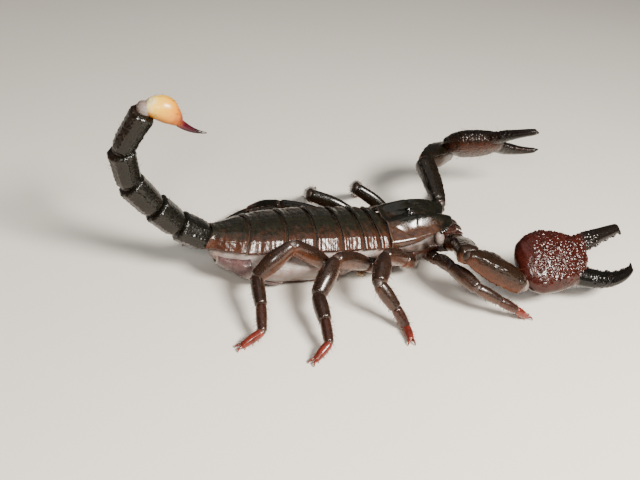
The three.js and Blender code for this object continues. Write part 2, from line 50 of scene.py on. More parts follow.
def tint(code):
    """A colour given as six hexadecimal digits, as a shader takes it."""
    parts = [int(code[i:i + 2], 16) / 255 for i in (0, 2, 4)]
    return [p / 12.92 if p < 0.04 else ((p + 0.055) / 1.055) ** 2.4 for p in parts] + [1]


def node(tree, kind, inputs=None, **settings):
    """Adds a shader node, sets it, and wires or fills its inputs."""
    made = tree.nodes.new("ShaderNode" + kind)
    for name, value in settings.items():
        setattr(made, name, value)
    for name, value in (inputs or {}).items():
        if isinstance(value, bpy.types.NodeSocket):
            tree.links.new(value, made.inputs[name])
        else:
            made.inputs[name].default_value = value
    return made


def clear():
    """Leaves edit mode with nothing selected."""
    if bpy.context.mode != "OBJECT":
        bpy.ops.object.mode_set(mode="OBJECT")
    bpy.ops.object.select_all(action="DESELECT")


def blank_material(name):
    made = bpy.data.materials.new(name)
    made.use_nodes = True
    made.node_tree.nodes.clear()
    return made, made.node_tree


def noise(tree, scale, detail, **more):
    """A soft random value over a piece, which lies still on the piece itself."""
    place = node(tree, "TexCoord")
    made = node(tree, "TexNoise", {"Vector": place.outputs["Object"], "Scale": scale,
                                   "Detail": detail, **more})
    return made.outputs["Fac"]


def mixed(tree, factor, low, high, blend="MIX"):
    """A colour between two, each a code, a colour or another node's colour."""
    low, high = (tint(one) if isinstance(one, str) else one for one in (low, high))
    made = node(tree, "Mix", {0: factor, 6: low, 7: high}, data_type="RGBA", blend_type=blend)
    return made.outputs[2]


def settle(tree, inputs):
    """Wires a shader with these inputs to the material's surface."""
    shader = node(tree, "BsdfPrincipled", inputs)
    node(tree, "OutputMaterial", {"Surface": shader.outputs[0]})


clear()
bpy.ops.mesh.primitive_plane_add(size=3)
floor = bpy.context.object
floor.name = "floor"
floor_finish, tree = blank_material("pale floor")
shade = mixed(tree, noise(tree, 9, 3), "d3cec5", "ddd8cf")
settle(tree, {"Base Color": shade, "Roughness": 0.75})
floor.data.materials.append(floor_finish)

world = bpy.data.worlds.new("studio")
world.use_nodes = True
world.node_tree.nodes["Background"].inputs["Color"].default_value = tint("e8ecf0")
world.node_tree.nodes["Background"].inputs["Strength"].default_value = 0.13
bpy.context.scene.world = world

# Each lamp: name, place, width, height, power and colour.
LAMP_AIM = Vector((-10, 0, 8))
LAMPS = [
    ("key_light", (110, -290, 285), 150, 80, 5.8, "fff8ee"),
    ("camera_side", (-150, -300, 230), 60, 60, 0.8, "fff8ee"),
    ("overhead", (-40, 20, 430), 420, 360, 0.32, "fbfcff"),
]
for name, spot, width, height, power, colour in LAMPS:
    lamp = bpy.data.lights.new(name, "AREA")
    lamp.shape = "RECTANGLE"
    lamp.size = width * MM
    lamp.size_y = height * MM
    lamp.energy = power
    lamp.color = tint(colour)[:3]
    stand = bpy.data.objects.new(name, lamp)
    stand.location = ANIMAL @ Vector(spot)
    stand.rotation_euler = (LAMP_AIM - Vector(spot)).to_track_quat("-Z", "Y").to_euler()
    bpy.context.scene.collection.objects.link(stand)

# The camera looks at a point of the trunk from one side and above, with a slight tilt.
YAW = rad(19.5)
DIP = rad(31)
TILT = rad(5.7)
LOOKED_AT = Vector((-14.8, 6.1, 5))
CAMERA_DISTANCE = 247
look = Vector((sin(YAW) * cos(DIP), cos(YAW) * cos(DIP), -sin(DIP)))
level = Vector((cos(YAW), -sin(YAW), 0))
upright = level.cross(look)
across = level * cos(TILT) + upright * sin(TILT)
upright = upright * cos(TILT) - level * sin(TILT)
lens = bpy.data.cameras.new("camera")
lens.lens = 49.44
lens.sensor_width = 36
lens.clip_start = 0.005
camera = bpy.data.objects.new("camera", lens)
turn = Matrix((across, upright, -look)).transposed()
eye_spot = ANIMAL @ (LOOKED_AT - look * CAMERA_DISTANCE)
camera.matrix_world = Matrix.Translation(eye_spot) @ turn.to_4x4()
bpy.context.scene.collection.objects.link(camera)
bpy.context.scene.camera = camera

# ---- the soft skin ----------------------------------------------------------------------------
# The pale, folded membrane that holds the hard plates together. It swells out along the flanks
# between back and belly plates, and shows at every joint of the legs, claws and tail.
SKIN_PIECES = []
TERGITE_LENGTHS = [3.2, 4.4, 5.7, 6.9, 7.6, 9.3, 9.9]
LAST_TERGITE = len(TERGITE_LENGTHS) - 1
TRUNK_LENGTH = 48
TRUNK_STATIONS = [-48, -43.5, -39, -32, -22, -10, 0]
BELLY_STATIONS = [-48, -43.5, -38, -31, -18, -12, 0]


def through(places, values, x):
    """A value that runs smoothly through given values at given places."""
    if x <= places[0]:
        return values[0]
    if x >= places[-1]:
        return values[-1]
    i = 0
    while x > places[i + 1]:
        i += 1
    t = (x - places[i]) / (places[i + 1] - places[i])
    t = t * t * (3 - 2 * t) * 0.5 + t * 0.5
    return values[i] + (values[i + 1] - values[i]) * t


def smooth(x, low, high):
    t = min(1, max(0, (x - low) / (high - low)))
    return t * t * (3 - 2 * t)


def hump(x, middle, spread):
    return exp(-((x - middle) / spread) ** 2)


def half_width(x):
    return through(TRUNK_STATIONS, [4.5, 6.8, 8.9, 10.4, 10.9, 10.6, 10.2], x)


def crown_height(x):
    return through(TRUNK_STATIONS, [15.6, 15.8, 16.1, 16.6, 16.7, 16, 15.2], x)


def waist_height(x):
    return through(TRUNK_STATIONS, [11.3, 11.2, 11.4, 11.6, 11.5, 10.9, 10.3], x)


def belly_half(x):
    return through(TRUNK_STATIONS, [4.7, 7.6, 10.3, 12.5, 13, 11.9, 9.6], x)


def belly_height(x):
    return through(BELLY_STATIONS, [8.2, 5.4, 2.6, 0.9, 0.8, 3.2, 3.2], x)


def body_point(x, angle, out=0):
    """A point of the soft body, at an angle from its top, pushed out a little."""
    middle = waist_height(x)
    rise = cos(angle)
    if rise >= 0:
        top = (crown_height(x) - 1.4 + out - middle) * rise ** 0.9
        return Vector((x, (half_width(x) - 1.4 + out) * sin(angle), middle + top))
    swell = smooth(-rise, 0, 0.4)
    half = (half_width(x) - 1.4) * (1 - swell) + belly_half(x) * swell + out
    aside = copysign(half * abs(sin(angle)) ** 0.55, angle)
    return Vector((x, aside, middle - (middle - belly_height(x) + out) * (-rise) ** 0.95))


def ring_profile(angle):
    return sin(angle), cos(angle)


def drawn(name, rings, around=16, profile=ring_profile, levels=1):
    """A closed piece drawn out along X: each ring is its x, y, z, half width and half height."""
    clear()
    bpy.ops.mesh.primitive_circle_add(vertices=around, radius=1, fill_type="NGON",
                                      rotation=(0, pi / 2, 0))
    piece = bpy.context.object
    piece.name = name
    bpy.ops.object.transform_apply(location=False, rotation=True, scale=False)
    for point in piece.data.vertices:
        point.co.y, point.co.z = profile(atan2(point.co.y, point.co.z))
    bpy.ops.object.mode_set(mode="EDIT")
    bpy.ops.mesh.select_all(action="SELECT")
    x, y, z, wide, high = rings[0]
    bpy.ops.transform.resize(value=(1, wide, high), center_override=(0, 0, 0))
    bpy.ops.transform.translate(value=(x, y, z))
    for ring in rings[1:]:
        step = (ring[0] - x, ring[1] - y, ring[2] - z)
        bpy.ops.mesh.extrude_region_move(TRANSFORM_OT_translate={"value": step})
        bpy.ops.transform.resize(value=(1, ring[3] / wide, ring[4] / high),
                                 center_override=ring[:3])
        x, y, z, wide, high = ring
    outward(piece)
    if levels:
        refine(piece, "SUBSURF", levels=levels, render_levels=levels)
    bpy.ops.object.shade_smooth()
    return piece


def chosen(piece):
    """Selects one piece alone."""
    clear()
    piece.select_set(True)
    bpy.context.view_layer.objects.active = piece


def refine(piece, kind, **settings):
    """Adds one modifier and applies it."""
    chosen(piece)
    modifier = piece.modifiers.new(kind.lower(), kind)
    for name, value in settings.items():
        setattr(modifier, name, value)
    bpy.ops.object.modifier_apply(modifier=modifier.name)


def outward(piece):
    """Turns all faces of a closed piece outwards."""
    chosen(piece)
    bpy.ops.object.mode_set(mode="EDIT")
    bpy.ops.mesh.select_all(action="SELECT")
    bpy.ops.mesh.normals_make_consistent(inside=False)
    bpy.ops.object.mode_set(mode="OBJECT")


def marked(piece, rule=None):
    """Keeps how far along, across and up each point lies, for the colours to follow."""
    points = [v.co.copy() for v in piece.data.vertices]
    if rule:
        lies = [rule(p) for p in points]
    else:
        low = [min(p[i] for p in points) for i in range(3)]
        high = [max(p[i] for p in points) for i in range(3)]
        lies = []
        for p in points:
            t = (p.x - low[0]) / (high[0] - low[0])
            aside = (p.y - low[1]) / (high[1] - low[1]) * 2 - 1
            lies.append((t, aside, (p.z - low[2]) / (high[2] - low[2]) * 2 - 1))
    lie = piece.data.attributes.new("lie", "FLOAT_VECTOR", "POINT")
    lie.data.foreach_set("vector", [value for one in lies for value in one])


def placed(piece, matrix=Matrix.Identity(4)):
    """Moves a piece from its own axes in millimetres to its place in the model."""
    piece.matrix_world = ANIMAL @ matrix
    chosen(piece)
    bpy.ops.object.transform_apply()
    outward(piece)


def axes(at, along, side=None):
    """The place of a straight piece that runs from a point, with its own Y level or given."""
    along = Vector(along).normalized()
    side = Vector(side) if side else Vector((0, 0, 1)).cross(along)
    if side.length < 0.05:
        side = Vector((0, 1, 0))
    side = (side - along * side.dot(along)).normalized()
    turned = Matrix((along, side, along.cross(side))).transposed().to_4x4()
    return Matrix.Translation(at) @ turned


def joined(name, pieces):
    clear()
    for piece in pieces:
        piece.select_set(True)
    bpy.context.view_layer.objects.active = pieces[0]
    if len(pieces) > 1:
        bpy.ops.object.join()
    pieces[0].name = name
    pieces[0].data.name = name
    return pieces[0]


def kept(piece, material, slot, *nodes):
    """Gives a finished piece its material and hides the frame's parts that it stands for. The slot
    is not used.
    """
    piece.data.materials.clear()
    piece.data.materials.append(material)
    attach(piece, "root")
    if nodes:
        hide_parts(*nodes)


TRUNK_STEPS = 54
rings = [(-TRUNK_LENGTH + 0.3 + (TRUNK_LENGTH - 0.6) * i / TRUNK_STEPS, 0, 0, 1, 1)
         for i in range(TRUNK_STEPS + 1)]
trunk_skin = drawn("soft_skin", rings, around=72, levels=0)
edges = [-sum(TERGITE_LENGTHS[:i]) for i in range(LAST_TERGITE + 2)]
for point in trunk_skin.data.vertices:
    x = point.co.x
    angle = atan2(point.co.y, point.co.z)
    ring = min(LAST_TERGITE, max(0, sum(1 for edge in edges if x <= edge) - 1))
    t = (edges[ring] - x) / TERGITE_LENGTHS[ring]
    flank = hump(abs(angle), rad(112), rad(26))
    fold = 0.28 * sin(pi * t) + 0.07 * sin(x * 5.2 + 1.7 * sin(angle * 9))
    pleat = 0.1 * sin(angle * 46 + 1.2 * sin(x * 0.9))
    point.co = body_point(x, angle, flank * (fold + pleat) - 0.1)
marked(trunk_skin, lambda p: (1, 0, 0))
SKIN_PIECES.append(trunk_skin)

# The membrane under the carapace, between its rim and the hips.
PROSOMA_RINGS = [(-1.5, 0, 9, 7, 3.4), (-0.5, 0, 9.2, 8.9, 4.2), (4, 0, 9.4, 9.4, 4.3),
                 (9, 0, 9.8, 8.9, 4.6), (13, 0, 10, 7.9, 4.8), (15.6, 0, 10, 6.6, 4.4),
                 (16.8, 0, 9.8, 4.6, 2.4)]
prosoma_skin = drawn("prosoma_skin", PROSOMA_RINGS, around=32, levels=2)
for point in prosoma_skin.data.vertices:
    x, y, z = point.co
    fold = hump(z, 9.5, 2.5) * smooth(abs(y), 4, 6.5)
    point.co.y += copysign(0.4 * fold * sin(x * 1.55 + 0.7 * z), y)
    point.co.z += 0.15 * fold * sin(x * 4.3 + y)
marked(prosoma_skin, lambda p: (0.3 + 0.2 * sin(p.x * 1.9 + p.z) -
                                0.3 * smooth(p.x, 8, 12), 0, 0))
SKIN_PIECES.append(prosoma_skin)


SLEEVE_STEPS = 8


def membrane(at, way, length, across, high, side=None, pale=0.1):
    """A soft, slightly pleated sleeve that fills one joint, pale or nearly as dark as horn."""
    rings = []
    for i in range(SLEEVE_STEPS + 1):
        t = i / SLEEVE_STEPS
        size = 0.35 + 0.65 * sin(pi * t) ** 0.45
        size *= 1 + 0.035 * (-1) ** i
        if i in (0, SLEEVE_STEPS):
            size = 0.3
        rings.append(((t - 0.5) * length, 0, 0, across / 2 * size, high / 2 * size))
    sleeve = drawn("sleeve", rings, around=12)
    marked(sleeve, lambda p: (pale, 0, 0))
    SKIN_PIECES.append(sleeve)
    sleeve.matrix_world = axes(at, way, side)
    chosen(sleeve)
    bpy.ops.object.transform_apply()


def ranged(tree, value, low, high, from_low=0, from_high=1, kind="LINEAR"):
    """A value carried from one range, 0 to 1 if not given, over to another."""
    made = node(tree, "MapRange", {"Value": value, "From Min": from_low, "From Max": from_high,
                                   "To Min": low, "To Max": high}, interpolation_type=kind)
    return made.outputs[0]


def masked(tree, value, empty, full):
    """A soft-edged mask between the values where it is empty and where it is full."""
    return ranged(tree, value, 0, 1, empty, full, "SMOOTHSTEP")


def reckoned(tree, operation, first, second=0.5):
    return node(tree, "Math", {0: first, 1: second}, operation=operation).outputs[0]


def bumped(tree, height, strength, depth):
    made = node(tree, "Bump", {"Height": height, "Strength": strength, "Distance": depth})
    return made.outputs[0]


def lie_of(tree):
    """How far along, across and up a point of a piece lies, as three values."""
    lie = node(tree, "Attribute", attribute_name="lie")
    return node(tree, "SeparateXYZ", {0: lie.outputs["Vector"]}).outputs


def new_effect(name, inputs, outputs):
    """An effect that several finishes share, with its named inputs and outputs."""
    made = bpy.data.node_groups.new(name, "ShaderNodeTree")
    for way, names in (("INPUT", inputs), ("OUTPUT", outputs)):
        for one in names:
            made.interface.new_socket(one, in_out=way, socket_type="NodeSocketFloat")
    given = made.nodes.new("NodeGroupInput")
    taken = made.nodes.new("NodeGroupOutput")
    return made, given.outputs, taken.inputs


def effect(tree, group, values):
    """Puts a shared effect in a finish with its own values."""
    return node(tree, "Group", values, node_tree=group).outputs


# The skin's pleats are fine wavering lines with a soft blotch of colour, used at two sizes.
pleats, given, taken = new_effect("skin pleats", ["Size"], ["Height", "Blotch"])
ends = node(pleats, "TexCoord")
stretch = node(pleats, "Mapping", {"Vector": ends.outputs["Object"], "Scale": (0.35, 1, 1.6)})
lines = node(pleats, "TexNoise", {
    "Vector": stretch.outputs[0], "Scale": reckoned(pleats, "DIVIDE", 1 / MM, given["Size"]),
    "Detail": 5, "Roughness": 0.62, "Distortion": 0.8,
})
pleats.links.new(lines.outputs["Fac"], taken["Height"])
pleats.links.new(noise(pleats, 420, 3), taken["Blotch"])

skin_finish, tree = blank_material("pale folded skin")
fine = effect(tree, pleats, {"Size": 0.42})
broad = effect(tree, pleats, {"Size": 1.5})
# The pleats' hollows are painted darker and their ridges paler, as painted shade in the folds.
shade = ranged(tree, fine["Height"], 0, 1, 0.32, 0.66)
warm = ranged(tree, broad["Blotch"], 0, 1, 0.45, 0.7)
brown = mixed(tree, shade, "120b07", "2a1a12")
pale = mixed(tree, warm, mixed(tree, shade, "655a56", "7c726c"), "6e544d")
height = reckoned(tree, "ADD", fine["Height"], broad["Height"])
settle(tree, {
    "Base Color": mixed(tree, lie_of(tree)["X"], brown, pale),
    "Roughness": ranged(tree, broad["Height"], 0.3, 0.48),
    "Normal": bumped(tree, height, 0.5, 0.0002),
    "Subsurface Weight": 0.1, "Subsurface Radius": (0.001, 0.0005, 0.0004),
})

# ---- belly plates and combs -------------------------------------------------------------------
# Five thin brown plates overlap along the underside, each a shallow curved sheet. Ahead of them
# a pair of combs with ten soft teeth hangs beneath the hips.
mottle, given, taken = new_effect("shell mottle", ["Size", "Sharpness"], ["Mask"])
cloud = noise(mottle, reckoned(mottle, "DIVIDE", 1 / MM, given["Size"]), 4, Roughness=0.6)
low = reckoned(mottle, "SUBTRACT", 0.5, given["Sharpness"])
high = reckoned(mottle, "ADD", 0.5, given["Sharpness"])
mottle.links.new(masked(mottle, cloud, low, high), taken["Mask"])

granules, given, taken = new_effect("shell granules", ["Size", "Fill"], ["Height"])
ends = node(granules, "TexCoord")
cells = node(granules, "TexVoronoi", {
    "Vector": ends.outputs["Object"], "Scale": reckoned(granules, "DIVIDE", 1 / MM, given["Size"]),
    "Randomness": 0.85,
})
dome = masked(granules, cells.outputs["Distance"], given["Fill"], 0.05)
granules.links.new(dome, taken["Height"])

# Where a point of a piece lies: near its upper side, near either end, or on its underside.
lying, given, taken = new_effect("lie of the piece", ["Crown From", "Crown To", "Rim Width"],
                                 ["Crown", "Rim", "Under"])
parts = lie_of(lying)
drift = ranged(lying, noise(lying, 700, 3), -0.35, 0.35)
up = reckoned(lying, "ADD", parts["Z"], drift)
from_middle = reckoned(lying, "ABSOLUTE", reckoned(lying, "SUBTRACT", parts["X"], 0.5))
edge = reckoned(lying, "SUBTRACT", 0.5, from_middle)
edge = reckoned(lying, "ADD", edge, reckoned(lying, "MULTIPLY", drift, 0.03))
lying.links.new(masked(lying, up, given["Crown From"], given["Crown To"]), taken["Crown"])
lying.links.new(masked(lying, edge, given["Rim Width"], 0), taken["Rim"])
lying.links.new(masked(lying, up, -0.25, -0.8), taken["Under"])


def shell_finish(name, crown, flank, under, rim, crown_from=-0.2, crown_to=0.5, rim_width=0.04,
                 grain=0.3, relief=0.6, gloss=0.3, coat=0.25, cloudy=0.25, dents=0.35, shine=0.3):
    """Glossy horn: dark on its crown, redder on its flanks, paler at its rims, finely granular."""
    made, tree = blank_material(name)
    where = effect(tree, lying, {"Crown From": crown_from, "Crown To": crown_to,
                                 "Rim Width": rim_width})
    cloud = effect(tree, mottle, {"Size": 1.6, "Sharpness": 0.16})["Mask"]
    speck = effect(tree, mottle, {"Size": 0.35, "Sharpness": 0.14})["Mask"]
    grains = effect(tree, granules, {"Size": grain, "Fill": 0.55})["Height"]
    colour = mixed(tree, where["Crown"], flank, crown)
    colour = mixed(tree, where["Under"], colour, under)
    lighter = mixed(tree, cloud, (1 - cloudy, 1 - cloudy * 1.1, 1 - cloudy, 1),
                    (1 + cloudy, 1 + cloudy * 0.7, 1 + cloudy * 0.5, 1))
    dust = mixed(tree, speck, (0.88, 0.88, 0.9, 1), (1.1, 1.08, 1.05, 1))
    for tone in (lighter, dust):
        colour = mixed(tree, 1, colour, tone, "MULTIPLY")
    crest = reckoned(tree, "MULTIPLY", grains, 0.4 * relief)
    colour = mixed(tree, crest, colour, flank)
    patch = ranged(tree, where["Crown"], 0.25 * relief, relief)
    height = reckoned(tree, "ADD", reckoned(tree, "MULTIPLY", grains, patch),
                      reckoned(tree, "MULTIPLY", cloud, dents))
    settle(tree, {
        "Base Color": mixed(tree, where["Rim"], colour, rim),
        "Roughness": ranged(tree, speck, gloss - 0.07, gloss + 0.12),
        "Normal": bumped(tree, height, 0.75, 0.00016), "Specular IOR Level": shine,
        "Coat Weight": coat, "Coat Roughness": 0.12,
    })
    return made


def curved_plate(name, columns, rows, place, thickness):
    """A thin plate: a flat grid laid on a curved surface and given a wall."""
    clear()
    bpy.ops.mesh.primitive_grid_add(x_subdivisions=columns, y_subdivisions=rows, size=2)
    piece = bpy.context.object
    piece.name = name
    for point in piece.data.vertices:
        point.co = place(point.co.x / 2 + 0.5, point.co.y)
    refine(piece, "SOLIDIFY", thickness=thickness, offset=-1)
    refine(piece, "SUBSURF", levels=1, render_levels=1)
    bpy.ops.object.shade_smooth()
    outward(piece)
    return piece


belly_finish = shell_finish("belly plate horn", "4c3838", "4c3838", "38241b", "8c7d76",
                            rim_width=0.05, grain=0.5, relief=0.12)
STERNITES = [(-7.8, -14.6), (-14.4, -21.8), (-21.6, -29.6), (-29.4, -38.2), (-38, -46.6)]
STERNITE_REACHES = [rad(24), rad(24), rad(26), rad(36), rad(82)]
STERNITE_WALL = 0.45
plates = []
for i, (front, rear) in enumerate(STERNITES):
    def on_belly(u, v):
        x = rear + (front - rear) * u
        tuck = 0.22 * smooth(u, 0.8, 1) - 0.12 * hump(u, 0, 0.1)
        tuck += 0.3 * smooth(abs(v), 0.85, 1)
        corner = 1 - 0.1 * smooth(abs(v), 0.6, 1) * (1 - u)
        angle = pi - v * STERNITE_REACHES[i] * corner
        return body_point(x, angle if angle <= pi else angle - 2 * pi, 0.32 - tuck)

    plate = curved_plate("sternite_%d" % (i + 3), 10, 30, on_belly, STERNITE_WALL)
    marked(plate, lambda p: ((p.x - rear) / (front - rear), p.y / 12, (p.z - 4) / 3))
    plates.append(plate)
sternites = joined("sternites", plates)
placed(sternites)
kept(sternites, belly_finish, "shell")

comb_finish = shell_finish("comb skin", "7a6048", "6f543c", "6f543c", "9a8468", rim_width=0.1,
                           grain=0.35, relief=0.3, gloss=0.45, coat=0)
SIDES = {"right": -1, "left": 1}
COMB_TEETH = 10
COMB_LENGTH = 9.5
COMB_TURN = rad(118)
for side_name, side in SIDES.items():
    handle = []
    for t in (0, 0.02, 0.3, 0.6, 0.85, 0.97, 1):
        size = 0.35 if t in (0, 1) else 1
        handle.append((t * COMB_LENGTH, 0.62 - 0.14 * t, 0, (0.62 - 0.12 * t) * size,
                       0.36 * size))
    pieces = [drawn("comb_handle", handle, around=12)]
    for i in range(COMB_TEETH):
        middle = (i + 0.5) * COMB_LENGTH / COMB_TEETH
        reach = 1.75 - 0.5 * i / COMB_TEETH
        tooth = [(0, 0, 0, 0.2, 0.2), (0.1, 0, 0, 0.3, 0.28), (reach * 0.45, 0, 0, 0.33, 0.3),
                 (reach * 0.85, 0, 0, 0.36, 0.28), (reach, 0, 0, 0.16, 0.14)]
        piece = drawn("comb_tooth", tooth, around=8)
        piece.matrix_world = axes((middle, 0.15, 0), (-0.16, -1, 0), (1, 0, 0))
        pieces.append(piece)
    comb = joined("comb_" + side_name, pieces)
    marked(comb)
    way = (cos(COMB_TURN), side * sin(COMB_TURN), 0)
    aside = (sin(COMB_TURN), -side * cos(COMB_TURN), 0)
    spread = Matrix((way, aside, (0, 0, 1))).transposed().to_4x4()
    placed(comb, Matrix.Translation((-3.4, side, 2.5)) @ spread)
    kept(comb, comb_finish, "soft_skin", "pecten_" + side_name)

# ---- breastplate and hips ---------------------------------------------------------------------
# The small breastplate and the eight hip joints beneath the head, dark smooth horn grown tightly
# against each other. The frame's own shape is rounded and kept.
hip_finish = shell_finish("hip horn", "22130d", "2e180f", "3a2014", "5d4232", rim_width=0.03,
                          grain=0.5, relief=0.3, gloss=0.28)
HIP_VOXEL = 0.00032
HIP_MERGE = 0.00002
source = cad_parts["coxosternum"]
hips = source.copy()
hips.data = source.data.copy()
bpy.context.scene.collection.objects.link(hips)
hips.parent = None
hips.name = "hips"
chosen(hips)
bpy.ops.object.mode_set(mode="EDIT")
bpy.ops.mesh.select_all(action="SELECT")
bpy.ops.mesh.remove_doubles(threshold=HIP_MERGE)
bpy.ops.object.mode_set(mode="OBJECT")
refine(hips, "REMESH", mode="VOXEL", voxel_size=HIP_VOXEL)
refine(hips, "SMOOTH", factor=0.5, iterations=9)
bpy.ops.object.shade_smooth()
marked(hips)
kept(hips, hip_finish, "limb", "coxosternum")

# ---- back plates ------------------------------------------------------------------------------
# Seven arched plates overlap from the carapace to the tail like roof tiles. Each is hard horn,
# matt and finely granular on its crown, glossy and redder on its flanks, with a thin pale rim.
back_finish = shell_finish("back plate horn", "15160e", "3a2217", "2c170c", "34281e",
                           crown_from=0.5, crown_to=0.98, rim_width=0.02, grain=0.45, relief=0.5,
                           gloss=0.24, dents=0.2)
TERGITE_REACH = rad(88)
TERGITE_SWEEPS = [-0.4, -0.1, 0.3, 0.8, 1.4, 2.0, 2.4]
TERGITE_WALL = 0.75
# The flank between these two shares of the reach is nearly flat.
FLANK_FROM = 0.56
FLANK_TO = 0.97
FLANK_ANGLES = (FLANK_FROM * TERGITE_REACH, FLANK_TO * TERGITE_REACH)


def across_flank(rule, t):
    """A section's size on the flattened flank, straight between its size at both ends."""
    first, last = (rule(angle) for angle in FLANK_ANGLES)
    return first + (last - first) * t


edge = 0
for i, length in enumerate(TERGITE_LENGTHS):
    front = edge - 0.15
    rear = edge - length - 0.12
    edge -= length

    def on_back(u, v):
        angle = v * TERGITE_REACH
        behind = (1 - u) * length
        far = smooth(abs(v), 0.15, 1)
        arch = sin(pi * u)
        sweep = TERGITE_SWEEPS[i] * (1 - u) + TERGITE_SWEEPS[max(0, i - 1)] * u
        x = rear + (front - rear) * u - sweep * far
        sunk = 0.5 * smooth(u, 1 - 1.3 / length, 1)
        sunk -= 0.26 * hump(u * length, 0.5, 0.5)
        sunk += 0.16 * hump(behind, length * 0.66, 0.4) * (1 - 0.5 * far)
        sunk -= 0.18 * hump(v, 0, 0.045) * smooth(u, 0.95, 0.7)
        sunk += 0.14 * hump(abs(v), 0.3, 0.1) * arch
        ripple = sin(x * 3.9 + 3 * v * v + 1.3 * sin(x * 1.7 + i))
        sunk += 0.085 * smooth(abs(v), 0.3, 0.6) * ripple * arch
        sunk += 0.05 * sin(x * 2.3 + 9 * v) * sin(14 * v + x) * arch
        sunk += 0.3 * smooth(abs(v), 0.93, 1)
        if i == LAST_TERGITE:
            sunk -= 0.22 * hump(abs(v), 0.3, 0.06) * arch
        half = half_width(x) - sunk
        high = crown_height(x) - sunk - waist_height(x)
        t = (abs(v) - FLANK_FROM) / (FLANK_TO - FLANK_FROM)
        level = 0.85 * smooth(t, 0, 0.2) * (1 - smooth(t, 0.8, 1))
        aside = copysign(across_flank(sin, t), v) * level
        aside += sin(angle) * (1 - level)
        up = across_flank(lambda one: cos(one) ** 0.9, t) * level
        up += cos(angle) ** 0.9 * (1 - level)
        return Vector((x, half * aside, waist_height(x) + high * up))

    plate = curved_plate("tergite_plate_%d" % (i + 1), 30, 60, on_back, TERGITE_WALL)

    def lie_on_back(p):
        high = (p.z - waist_height(p.x)) / (crown_height(p.x) - waist_height(p.x))
        far = smooth(1 - 0.8 * max(0, min(1, high)) ** 1.5, 0.15, 1)
        return (p.x + TERGITE_SWEEPS[i] * far - rear) / (front - rear), p.y / 11, high

    marked(plate, lie_on_back)
    placed(plate)
    kept(plate, back_finish, "shell", "tergite_%d" % (i + 1))

# ---- carapace ---------------------------------------------------------------------------------
# The shield over the head is one piece of hard horn, open at the front over the jaws. It has a
# middle furrow, a low knob for the two main eyes, curved creases at its rear and a pale rim.
CARAPACE_LENGTH = 20
CARAPACE_WALL = 0.85
EYE_PLACE = 0.42


def carapace_half(u):
    return through([0, 0.35, 0.6, 0.8, 0.92, 1], [10.3, 10.1, 9.1, 7.8, 6.9, 5.8], u)


def carapace_crown(u):
    return through([0, 0.42, 0.7, 1], [15.1, 15.4, 15.3, 14.6], u)


def carapace_edge(u):
    return through([0, 0.2, 0.4, 0.6, 0.8, 1], [9.6, 10, 10.8, 11.9, 12.8, 13], u)


def on_carapace(u, v):
    notch = 1.3 * hump(v, 0, 0.3) + 0.9 * v ** 4
    x = (CARAPACE_LENGTH - notch) * u
    low = carapace_edge(u)
    far = abs(v)
    dome = max(0, 1 - far ** 2.4) ** 0.33
    up = low + 0.9 + (carapace_crown(u) - low - 0.9) * dome
    up -= 0.55 * hump(far, 0.76, 0.17)
    lobe = hump(far * carapace_half(u), 4.4 - 0.5 * smooth(u, 0.5, 1), 2.1)
    up += 2.1 * lobe * sin(pi * min(1, 0.1 + 0.75 * u))
    up -= 0.45 * hump(v, 0, 0.07) * sin(pi * min(1, u * 1.02)) ** 0.5
    up += 0.9 * hump(u, EYE_PLACE, 0.08) * hump(v, 0, 0.12)
    # The long slanting crease at each rear corner, and the short one beside the eyes.
    slant = u - (0.14 + 0.8 * (far - 0.63))
    up -= 0.3 * hump(slant, 0, 0.03) * hump(far, 0.74, 0.15)
    up += 0.1 * hump(slant, -0.07, 0.04) * hump(far, 0.74, 0.15)
    up -= 0.22 * hump(u, 0.5 - 0.1 * far, 0.018) * hump(far, 0.5, 0.17)
    up -= 0.2 * hump(u, 0.1, 0.03) * hump(far, 0.25, 0.2)
    up += 0.16 * hump(u, 0.015, 0.02) * dome
    up += 0.05 * sin(u * 23 + far * 9) * sin(far * 14) * dome
    up -= 0.3 * smooth(u, 0.95, 1) * dome
    out = 1 + 0.008 * hump(far, 0.985, 0.015)
    return Vector((x, carapace_half(u) * v * out, up))


def lie_on_carapace(p):
    u = min(1, max(0, p.x / 19.2))
    far = abs(p.y) / carapace_half(u)
    inward = 1.15 - far * 1.14
    lift = (p.z - 11.2) / 4.6 - 0.4 * hump(far, 0.7, 0.3) + 0.5 * smooth(u, 0.68, 0.9)
    return min(p.x / 19, inward, 1), p.y / 10, lift


# The flanks and underside of the carapace are painted a greyer, lighter brown than its horn, as a
# painted sheen.
carapace_finish = shell_finish("carapace horn", "0e0e08", "38271e", "46362b", "5c4c40",
                               crown_from=0.3, crown_to=0.95, rim_width=0.02, grain=0.5,
                               relief=0.02, gloss=0.17, coat=0.35, cloudy=0.3, dents=0.02)
shield = curved_plate("carapace_shield", 58, 88, on_carapace, CARAPACE_WALL)
marked(shield, lie_on_carapace)
placed(shield)
kept(shield, carapace_finish, "shell", "carapace")

# ---- eyes -------------------------------------------------------------------------------------
# Two large eyes sit on the knob of the carapace, and three small ones at each front corner. They
# are clear black beads, each in a low smooth socket of horn that is duller than the carapace.
eye_finish, tree = blank_material("black eye")
depth = noise(tree, 1500, 2)
settle(tree, {"Base Color": mixed(tree, depth, "050405", "140c08"),
              "Roughness": ranged(tree, depth, 0.03, 0.1), "Specular IOR Level": 0.8,
              "Coat Weight": 1, "Coat Roughness": 0.02})


def bead(name, at, radius, segments=24):
    clear()
    bpy.ops.mesh.primitive_uv_sphere_add(segments=segments, ring_count=segments // 2,
                                         radius=radius)
    piece = bpy.context.object
    piece.name = name
    piece.location = at
    bpy.ops.object.transform_apply()
    bpy.ops.object.shade_smooth()
    return piece


